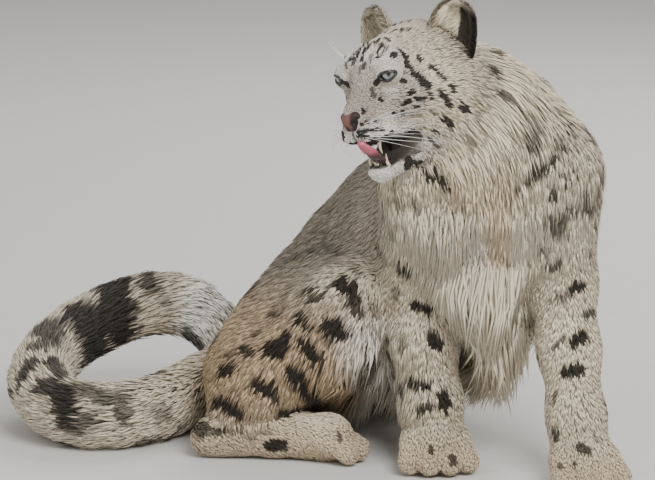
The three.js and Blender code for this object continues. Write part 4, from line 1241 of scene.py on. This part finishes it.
LONG_FUR = furred("long_fur", 0.8, 1, 0.0004, 2600)
LONG_TUFT = ((0, 0.3, 0.7, 1), (0.75, 1, 0.62, 0), (-0.25, 0.55, 0.9, 1))
SHORT_TUFT = ((0, 0.42, 1), (0.8, 1, 0), (-0.25, 0.65, 1))
rng = np.random.default_rng(11)
corners = triangles_of(skin)
centres = corners.mean(axis=1)
centre_parts = near_parts(centres)
room = (part_weights(centre_parts, 10) * coat_table("room")[:, None]).sum(axis=0)
REGIONS = {
    "coat_torso": (("torso",), SHORT_TUFT), "coat_neck": (("neck",), LONG_TUFT),
    "coat_thighs": (("thigh",), SHORT_TUFT), "coat_tail": (("tail",), LONG_TUFT),
    "coat_forelegs": (("foreleg",), SHORT_TUFT),
    "coat_feet": (("forepaw", "hindpaw", "hindfoot"), SHORT_TUFT),
    "coat_head": (("head", "jaw"), SHORT_TUFT),
}
owner = centre_parts.argmin(axis=0)
MOST_TRIANGLES = 190000
SEEN_SHARE = 0.65
for region, (names, stations) in REGIONS.items():
    rows = [row for row, name in enumerate(PARTS) if name.split("_")[0] in names]
    mine = np.isin(owner, rows)
    roots = sow(corners[mine], room[mine], rng)
    parts = near_parts(roots)
    normals = slope(roots)
    mask = ((roots[:, 2] > 1.5) | (normals[:, 2] > -0.5)) & furry(roots, normals)
    roots, parts, normals = roots[mask], parts[:, mask], normals[mask]
    weights = part_weights(parts, 10)
    lies = lie_of_coat(roots, parts, normals)
    swirl = rng.normal(0, 0.16, len(roots)) + 0.16 * ripple(roots, 60, 9)
    lies = lies * np.cos(swirl)[:, None] + np.cross(normals, lies) * np.sin(swirl)[:, None]
    lengths = (weights * coat_table("length")[:, None]).sum(axis=0)
    bib = ease(40, -60, roots[:, 1]) * (of_part(weights, "torso") + of_part(weights, "neck"))
    hang = ease(-0.15, -0.7, normals[:, 2]) * ease(90, 140, roots[:, 2])
    hang *= of_part(weights, "torso") + 0.8 * of_part(weights, "thigh")
    hem = skirt(roots)
    hang *= 1 - 0.45 * hem
    lies = tangent(lies * (1 - 0.8 * hem[:, None]) + DOWN * 0.8 * hem[:, None], normals)
    lengths *= (1 + 0.7 * bib) * (1 + 2.0 * hang) * (1 + 1.0 * hem) * face_length(roots, weights)
    lengths *= rng.uniform(0.8, 1.2, len(roots))
    widths = (weights * coat_table("width")[:, None]).sum(axis=0) * rng.uniform(0.8, 1.2, len(roots))
    rises = (weights * coat_table("rise")[:, None]).sum(axis=0) * rng.uniform(0.65, 1.25, len(roots))
    rises += 0.45 * hang
    middles = roots + lies * lengths[:, None] * SEEN_SHARE
    colours = marked(middles, near_parts(middles), normals) * rng.uniform(0.9, 1.1, (len(roots), 1))
    layout = unwrap(roots, parts)
    each = 1 + 6 * (len(stations[0]) - 2) + 3
    pieces = math.ceil(len(roots) * each / MOST_TRIANGLES)
    order = rng.permutation(len(roots))
    for number, chosen in enumerate(np.array_split(order, pieces), start=1):
        tufts(f"{region}_{number}", stations, roots[chosen], normals[chosen], lies[chosen],
              (lengths[chosen], widths[chosen], rises[chosen]), colours[chosen], layout[chosen],
              clump=coat_table("clump")[rows[0]])

# The ears. Each is a cupped shell of skin open to the front, black behind with a pale middle, and hairy
# within: long and cream from the inner edge, and in the outer half darkened with painted shade in the
# hollow, deeper on the left ear.
EAR_ROOT = (-54.0, 55.0, 31.0)
EAR_HALF_WIDTH = 34.0
EAR_HEIGHT = 53.0
EAR_DEPTH = 20.0
EAR_THICKNESS = 5.0
EAR_YAW, EAR_PITCH, EAR_ROLL = 16, -14, -20
EAR_RINGS, EAR_SPOKES = 22, 44
EAR_ROOM = 3.6


def ear_axes(s):
    """The ear's own axes as columns of the plan: forward, across and up."""
    yaw, pitch, roll = (math.radians(angle) for angle in (EAR_YAW * s, EAR_PITCH, EAR_ROLL * s))
    return HEAD_AXES @ turn(2, yaw) @ turn(1, pitch) @ turn(0, roll)


def ear_root(s):
    """The middle of the ear's root."""
    return head(EAR_ROOT[0], EAR_ROOT[1] * s, EAR_ROOT[2])


def ear_shell(s):
    """Closed grid of rings up the ear. A ring's back half is y = w sin a, x = -d cos a, and its front
    half is the same less the shell's thickness; w and d shrink to the tip as powers of cos b."""
    b = np.linspace(-0.45, math.pi / 2 - 0.06, EAR_RINGS)[:, None]
    a = (np.arange(EAR_SPOKES) / EAR_SPOKES * 2 * math.pi)[None]
    width = EAR_HALF_WIDTH * np.cos(b) ** 0.62
    depth = EAR_DEPTH * np.cos(b) ** 0.8
    behind = np.cos(a) > 0
    inner = np.maximum(depth - EAR_THICKNESS * np.cos(b) ** 0.4, 0.3)
    x = np.where(behind, -depth * np.abs(np.cos(a)), -inner * np.abs(np.cos(a)))
    x = x + 6 * np.abs(np.sin(a)) ** 3 * np.cos(b) ** 2
    y = width * np.sin(a)
    z = EAR_HEIGHT * np.sin(b) + 0 * a
    grid = np.stack([x, y, z], axis=2).reshape(-1, 3)
    ends = np.stack([grid[:EAR_SPOKES].mean(axis=0), grid[-EAR_SPOKES:].mean(axis=0) + place(0, 0, 0.6)])
    local = np.vstack([grid, ends])
    return local, ear_root(s) + local @ ear_axes(s).T, closed_faces(EAR_RINGS, EAR_SPOKES)


def ear_colour(local, inside, s):
    """Black behind but for a pale middle; cream along the inner edge in front, and beyond it painted shade in
    the hollow, deeper on the left ear than the right.
    """
    x, y, z = local[:, 0], local[:, 1] * s, local[:, 2]
    back = np.tile(np.array(GREY), (len(local), 1))
    back = mix(back, SOOT, 0.95 * ease(2, 14, y) * ease(50, 38, z))
    back = mix(back, SOOT, 0.9 * ease(22, 10, z))
    front = np.tile(np.array(CREAM), (len(local), 1))
    # Painted shade in the outer half of the hollow: near black on the left ear, weaker on the right.
    front = mix(front, SOOT, (0.93 if s > 0 else 0.35) * ease(-8, 2, y) * ease(56, 44, z))
    front = mix(front, GREY, 0.6 * ease(36, 50, z))
    return np.where(inside[:, None], front, back)


ear_material = furred("ear_skin", 0.8, 900, 0.0004)
for side_name, s in (("left", 1), ("right", -1)):
    local, points, faces = ear_shell(s)
    ear = new_piece(f"ear_skin_{side_name}", points, faces, ear_material)
    in_front = np.cos(np.arange(EAR_SPOKES) / EAR_SPOKES * 2 * math.pi) < 0
    ends = np.append(np.tile(in_front, EAR_RINGS), [False, False])
    paint(ear, points, ear_colour(local, ends, s) * 0.7)
    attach(ear, "root")
    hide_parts(f"ear_{side_name}")
    corners = triangles_of(ear)
    roots = sow(corners, EAR_ROOM, rng)
    axes = ear_axes(s)
    root = ear_root(s)
    centres = corners.mean(axis=1)
    facing = np.cross(corners[:, 1] - corners[:, 0], corners[:, 2] - corners[:, 0])
    gaps = sum((roots[:, None, k] - centres[None, :, k]) ** 2 for k in range(3))
    normals = facing[gaps.argmin(axis=1)]
    normals /= np.linalg.norm(normals, axis=1, keepdims=True)
    own = (roots - root) @ axes
    inside = (normals @ axes[:, 0]) > 0.05
    medial = ease(2, -24, own[:, 1] * s) * inside
    clear = over_skin(roots) > -1
    tips = np.stack([0.25 * inside, (0.9 * medial + 0.25 * np.sign(own[:, 1] * -s) * inside) * s,
                     np.where(inside, 0.9, 1.0)], axis=1) @ axes.T
    lies = tangent(tips, normals)
    lengths = np.where(inside, 13 + 13 * medial, 7.5) * rng.uniform(0.7, 1.25, len(roots))
    colours = ear_colour(own + place(0, 0, 3), inside, s) * rng.uniform(0.85, 1.15, (len(roots), 1))
    rises = np.where(inside, 0.55, 0.3)
    cell = np.clip(own[:, 1:] / (2 * EAR_HEIGHT) + 0.5, 0.03, 0.97) / (COLUMNS, SHELVES)
    layout = cell + np.array([3 if s == 1 else 4, 3]) / (COLUMNS, SHELVES)
    tufts(f"coat_ear_{side_name}", SHORT_TUFT, roots[clear], normals[clear], lies[clear],
          (lengths[clear], np.full(clear.sum(), 2.2), rises[clear]), colours[clear], layout[clear], over=None)

# The eyes. Each is a glass ball deep in its socket, with a round pupil in a pale iris, and the lids'
# wet black edges lie round it.
eye_material, nodes, links, shader = new_material("eye_glass", 0.06)
gaze = nodes.new("ShaderNodeAttribute")
gaze.attribute_name = "gaze"
rings_of_eye = nodes.new("ShaderNodeValToRGB")
EYE_STOPS = (
    (0.0, (0.002, 0.002, 0.002)), (0.15, (0.002, 0.002, 0.002)), (0.17, (0.16, 0.17, 0.12)),
    (0.30, (0.27, 0.31, 0.29)), (0.47, (0.20, 0.24, 0.25)), (0.53, (0.012, 0.013, 0.013)),
    (0.60, (0.012, 0.008, 0.007)), (1.0, (0.03, 0.02, 0.018)),
)
ramp = rings_of_eye.color_ramp
while len(ramp.elements) < len(EYE_STOPS):
    ramp.elements.new(0.5)
for stop, (at, tint) in zip(ramp.elements, EYE_STOPS):
    stop.position = at
    stop.color = (*tint, 1)
links.new(gaze.outputs["Fac"], rings_of_eye.inputs["Fac"])
where = nodes.new("ShaderNodeTexCoord")
fleck = nodes.new("ShaderNodeTexNoise")
fleck.inputs["Scale"].default_value = 700
links.new(where.outputs["Object"], fleck.inputs["Vector"])
flecked = nodes.new("ShaderNodeMix")
flecked.data_type = "RGBA"
flecked.blend_type = "OVERLAY"
flecked.inputs["Factor"].default_value = 0.4
links.new(rings_of_eye.outputs["Color"], flecked.inputs[6])
links.new(fleck.outputs["Fac"], flecked.inputs[7])
links.new(flecked.outputs[2], shader.inputs["Base Color"])
shader.inputs["Coat Weight"].default_value = 1.0
shader.inputs["Coat Roughness"].default_value = 0.02


def grain_material(name, low, high, scale, roughness, depth, coat=0.0):
    """Two close colours mixed by fine noise, over a bumped surface."""
    made, nodes, links, shader = new_material(name, roughness)
    where = nodes.new("ShaderNodeTexCoord")
    noise = nodes.new("ShaderNodeTexNoise")
    noise.inputs["Scale"].default_value = scale
    noise.inputs["Detail"].default_value = 4
    links.new(where.outputs["Object"], noise.inputs["Vector"])
    tone = nodes.new("ShaderNodeValToRGB")
    tone.color_ramp.elements[0].color = (*low, 1)
    tone.color_ramp.elements[1].color = (*high, 1)
    links.new(noise.outputs["Fac"], tone.inputs["Fac"])
    links.new(tone.outputs["Color"], shader.inputs["Base Color"])
    bump = nodes.new("ShaderNodeBump")
    bump.inputs["Distance"].default_value = depth
    links.new(noise.outputs["Fac"], bump.inputs["Height"])
    links.new(bump.outputs["Normal"], shader.inputs["Normal"])
    shader.inputs["Coat Weight"].default_value = coat
    shader.inputs["Coat Roughness"].default_value = 0.15
    return made


def tubes(name, paths, radii, sides, material):
    """Tapered tubes: round every station of every path a ring of points, p + r (u cos a + v sin a),
    with a point at either end."""
    count, steps = paths.shape[:2]
    run = np.gradient(paths, axis=1)
    run /= np.linalg.norm(run, axis=2, keepdims=True)
    u = np.cross(run, place(0.31, 0.17, 0.93))
    u /= np.linalg.norm(u, axis=2, keepdims=True)
    v = np.cross(run, u)
    a = np.arange(sides) / sides * 2 * math.pi
    spread = u[:, :, None] * np.cos(a)[:, None] + v[:, :, None] * np.sin(a)[:, None]
    rings = (paths[:, :, None] + radii[..., None, None] * spread).reshape(count, -1, 3)
    points = np.concatenate([rings, paths[:, :1], paths[:, -1:]], axis=1)
    one = closed_faces(steps, sides)
    faces = [[i + k * points.shape[1] for i in face] for k in range(count) for face in one]
    made = new_piece(name, points.reshape(-1, 3), faces, material)
    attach(made, "root")
    return made


EYE_RINGS, EYE_SPOKES = 32, 40
CORNEA_BULGE = 0.05
LOOK_UP = 0.04
LOOK_SIDE = 0.10
wet_black = grain_material("lid_edge", (0.012, 0.009, 0.008), (0.03, 0.022, 0.02), 600, 0.3, 0.0002, 0.5)
for side_name, s in (("left", 1), ("right", -1)):
    ahead, side, up = eye_axes(s)
    centre = place(EYE_AT[0], EYE_AT[1] * s, EYE_AT[2]) * HEAD_SCALE
    theta = np.linspace(0, math.pi, EYE_RINGS + 2)[1:-1, None]
    phi = (np.arange(EYE_SPOKES) / EYE_SPOKES * 2 * math.pi)[None]
    radius = EYE_RADIUS * (1 + CORNEA_BULGE * np.exp(-((theta / 0.5) ** 2))) + 0 * phi
    look = ahead + LOOK_UP * up + LOOK_SIDE * side
    look /= np.linalg.norm(look)
    right = np.cross(look, UP)
    right /= np.linalg.norm(right)
    over = np.cross(right, look)
    way = (look * np.cos(theta)[..., None] + (right * np.cos(phi)[..., None] + over * np.sin(phi)[..., None])
           * np.sin(theta)[..., None])
    ball = np.vstack([(way * radius[..., None]).reshape(-1, 3), look[None] * EYE_RADIUS * (1 + CORNEA_BULGE),
                      -look[None] * EYE_RADIUS])
    ball = HEAD_AT + (centre + ball) @ HEAD_AXES.T
    eye = new_piece(f"eye_{side_name}_glass", ball, closed_faces(EYE_RINGS, EYE_SPOKES), eye_material)
    layer = eye.data.attributes.new("gaze", "FLOAT", "POINT")
    angles = np.r_[np.repeat(theta.ravel(), EYE_SPOKES), 0, math.pi]
    layer.data.foreach_set("value", angles.clip(0, 1).astype(np.float32))
    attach(eye, "root")
    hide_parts(f"eye_{side_name}")
    across = np.linspace(-ALMOND_WIDE, ALMOND_WIDE, 25)
    top, bottom = almond(across)
    across = np.r_[across, across[-2::-1]]
    rise = np.r_[top, bottom[-2::-1]]
    rim = (ahead * (np.cos(rise) * np.cos(across))[:, None] + side * (np.cos(rise) * np.sin(across))[:, None]
           + up * np.sin(rise)[:, None]) * (LID_RADIUS - 0.5)
    rim = HEAD_AT + (centre + rim) @ HEAD_AXES.T
    tubes(f"lid_edge_{side_name}", rim[None], np.full((1, len(rim)), 1.5), 8, wet_black)

# The nose is moist leather, pinkish brown in front and black in and behind its comma-shaped nostrils.
line = np.array([head(90, 0, -9), head(101, 0, -10)])
points, faces = sheath(line, NOSE, UP, 26, 48, 8)
local = to_head(points)
x, y, z = local[:, 0], np.abs(local[:, 1]), local[:, 2]
nostril = np.exp(-(((x - 103) / 4.5) ** 2 + ((y - 8.5) / 3.2) ** 2 + ((z + 11.5) / 3.4) ** 2))
slit = np.exp(-(((y - 12) / 3) ** 2 + ((z + 7 + 0.5 * (100 - x)) / 2.2) ** 2)) * ease(103, 97, x)
groove = np.exp(-((y / 1.3) ** 2)) * ease(-11, -15, z)
middle = place(94, 0, -9)
inward = local - middle
inward /= np.maximum(np.linalg.norm(inward, axis=1, keepdims=True), 1e-6)
local = local - inward * (4.2 * nostril + 2.2 * slit + 1.6 * groove)[:, None]
nose = new_piece("nose_leather", HEAD_AT + local * HEAD_SCALE @ HEAD_AXES.T, faces, None)
leather = np.tile(np.array((0.17, 0.08, 0.07)), (len(points), 1))
dark = np.clip(1.4 * nostril + 1.2 * slit + groove + 0.85 * ease(4.5, 8, y) + 0.5 * ease(-14, -18, z), 0, 1)
leather = mix(leather, (0.022, 0.016, 0.016), dark)
paint(nose, points, leather)
nose.data.materials.append(furred("nose_leather", 0.35, 1500, 0.0004))
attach(nose, "root")
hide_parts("nose")

# The mouth. The tongue lies flat and curls up at its tip against the upper lip, and ivory teeth stand
# in both jaws: long canines and small incisors between them.
TONGUE_LINE = [(40, 0, -82), (62, 3, -77), (76, 5, -65), (88, 8, -52), (98, 11, -44), (107, 12, -34)]
TONGUE_HALF = (10.5, 4.6)
TONGUE_RINGS, TONGUE_SPOKES = 44, 40
GROOVE = 2.2
spots = curve(np.array([head(*p) for p in TONGUE_LINE]), np.linspace(0, 1, TONGUE_RINGS))
run = np.gradient(spots, axis=0)
run /= np.linalg.norm(run, axis=1, keepdims=True)
side = HEAD_AXES[:, 1] - (run @ HEAD_AXES[:, 1])[:, None] * run
side /= np.linalg.norm(side, axis=1, keepdims=True)
lift = np.cross(run, side)
a = np.arange(TONGUE_SPOKES) / TONGUE_SPOKES * 2 * math.pi
fade = np.sqrt(1 - np.linspace(0, 0.992, TONGUE_RINGS) ** 7)[:, None]
wide = TONGUE_HALF[0] * fade * np.cos(a)
high = TONGUE_HALF[1] * fade**0.5 * np.sin(a)
high = high - GROOVE * np.exp(-((np.cos(a) / 0.22) ** 2)) * (np.sin(a) > 0) * fade
points = spots[:, None] + side[:, None] * wide[..., None] + lift[:, None] * high[..., None]
points = np.vstack([points.reshape(-1, 3), spots[:1], spots[-1:] + run[-1:] * 0.5])
faces = closed_faces(TONGUE_RINGS, TONGUE_SPOKES)
moist = furred("tongue", 0.35, 500, 0.0007)
moist.node_tree.nodes["Principled BSDF"].inputs["Coat Weight"].default_value = 0.6
tongue = new_piece("tongue_flesh", points, faces, moist)
share = np.append(np.repeat(np.linspace(0, 1, TONGUE_RINGS), TONGUE_SPOKES), [0, 1])
# The tongue is painted near-black behind its pink tip: painted shade inside the mouth.
flesh = np.tile(np.array((0.05, 0.014, 0.018)), (len(points), 1))
paint(tongue, points, mix(flesh, (0.56, 0.12, 0.18), ease(0.58, 0.8, share)))
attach(tongue, "root")
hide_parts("tongue")

CANINES = [
    ((74, 15, -40), (77, 14.5, -50), (75, 14, -61), 3.6),
    ((66, 12, -82), (70, 13, -73), (68, 13, -63), 3.2),
]
TOOTH_RINGS = 10
ivory = grain_material("ivory", (0.62, 0.50, 0.30), (0.80, 0.72, 0.55), 250, 0.3, 0.0001, 0.4)
bent, thick = [], []
for root, middle, tip, radius in CANINES:
    for s in (1, -1):
        spots = np.array([head(p[0], p[1] * s, p[2]) for p in (root, middle, tip)])
        bent.append(curve(spots, np.linspace(0, 1, TOOTH_RINGS)))
        thick.append(radius * np.linspace(1, 0.05, TOOTH_RINGS) ** 0.7)
for row in (-1, 1):
    for k in range(6):
        y = (k - 2.5) * 3.2
        x, z = (86 - 0.10 * y * y, -45) if row < 0 else (74 - 0.10 * y * y, -74)
        bent.append(np.array([head(x, y, z + row * 4 * t) for t in np.linspace(-0.6, 1, TOOTH_RINGS)]))
        thick.append(1.5 * np.linspace(1, 0.25, TOOTH_RINGS) ** 0.6)
tubes("teeth", np.array(bent), np.array(thick), 10, ivory)

# The whiskers: stiff white hairs rooted in the rows of dark dots on the lips, swept out and back, and a
# few over each eye.
WHISKER_PIXELS = [
    (363, 124), (368, 122), (376, 121), (381, 119), (360, 133), (366, 132), (374, 130), (382, 129),
    (362, 137), (368, 137), (375, 138), (388, 135),
]
BROW_WHISKERS = [(40, 34, 52), (36, 38, 52), (44, 30, 51)]
WHISKER_RINGS = 14
WHISKER_RADIUS = 0.42
whisker_roots, hit = cast(WHISKER_PIXELS)
whisker_roots = to_head(whisker_roots[hit])
starts, ways, bends, spans = [], [], [], []
for s in (1, -1):
    for x, y, z in whisker_roots:
        starts.append(head(x, abs(y) * s, z))
        ways.append(place(-0.28 - 0.01 * (90 - x), s, -0.28 + 0.02 * (z + 34)) + rng.normal(0, 0.07, 3))
        bends.append(place(-0.55, -0.1 * s, -0.28) + rng.normal(0, 0.06, 3))
        spans.append(rng.uniform(70, 105) * (0.75 + 0.25 * (90 - x) / 30))
    for x, y, z in BROW_WHISKERS:
        starts.append(head(x, y * s, z))
        ways.append(place(0.1, 0.6 * s, 0.9) + rng.normal(0, 0.1, 3))
        bends.append(place(-0.5, 0.2 * s, -0.1))
        spans.append(rng.uniform(24, 36))
t = np.linspace(0, 1, WHISKER_RINGS)[None, :, None]
paths = np.array(ways)[:, None] * t + np.array(bends)[:, None] * t**2
paths = np.array(starts)[:, None] + (paths * np.array(spans)[:, None, None]) @ HEAD_AXES.T
white = grain_material("whisker", (0.80, 0.79, 0.75), (0.92, 0.91, 0.88), 80, 0.4, 0.0001)
thin = WHISKER_RADIUS * np.linspace(1, 0.12, WHISKER_RINGS)
tubes("whiskers", paths, thin[None].repeat(len(paths), axis=0), 5, white)

# The floor and the light: one flat pale floor, a broad light from the upper right in front, a weaker and
# broader one from the left, a third from behind and a pale sky all round.
REACH = 9e3
corners = np.array([(-REACH, -REACH, 0), (REACH, -REACH, 0), (REACH, REACH, 0), (-REACH, REACH, 0)])
floor = new_piece("floor", corners, [(0, 1, 2, 3)], None)
paper, nodes, links, shader = new_material("pale_paper", 0.9)
grain = nodes.new("ShaderNodeTexNoise")
grain.inputs["Scale"].default_value = 60
tone = nodes.new("ShaderNodeValToRGB")
tone.color_ramp.elements[0].color = (0.62, 0.61, 0.59, 1)
tone.color_ramp.elements[1].color = (0.68, 0.67, 0.65, 1)
where = nodes.new("ShaderNodeTexCoord")
links.new(where.outputs["Object"], grain.inputs["Vector"])
links.new(grain.outputs["Fac"], tone.inputs["Fac"])
links.new(tone.outputs["Color"], shader.inputs["Base Color"])
floor.data.materials.append(paper)

LIGHTS = (
    ("key", (1300, -2600, 2900), 2.0, 150),
    ("fill", (-2600, -1500, 1500), 2.6, 26),
    ("rim", (900, 2600, 2400), 2.0, 60),
)
for name, spot, size, power in LIGHTS:
    light = bpy.data.objects.new(name, bpy.data.lights.new(name, "AREA"))
    light.data.size = size
    light.data.energy = power
    light.location = np.array(spot) * MM + PLAN_AT
    aim = np.array([0, 0, 0.3]) + PLAN_AT - np.array(light.location)
    yaw = math.atan2(aim[1], aim[0]) - math.pi / 2
    light.rotation_euler = (math.acos(-aim[2] / np.linalg.norm(aim)), 0, yaw)
    bpy.context.scene.collection.objects.link(light)
sky = bpy.data.worlds.new("sky")
sky.use_nodes = True
sky.node_tree.nodes["Background"].inputs["Color"].default_value = (0.86, 0.85, 0.83, 1)
sky.node_tree.nodes["Background"].inputs["Strength"].default_value = 0.6
bpy.context.scene.world = sky
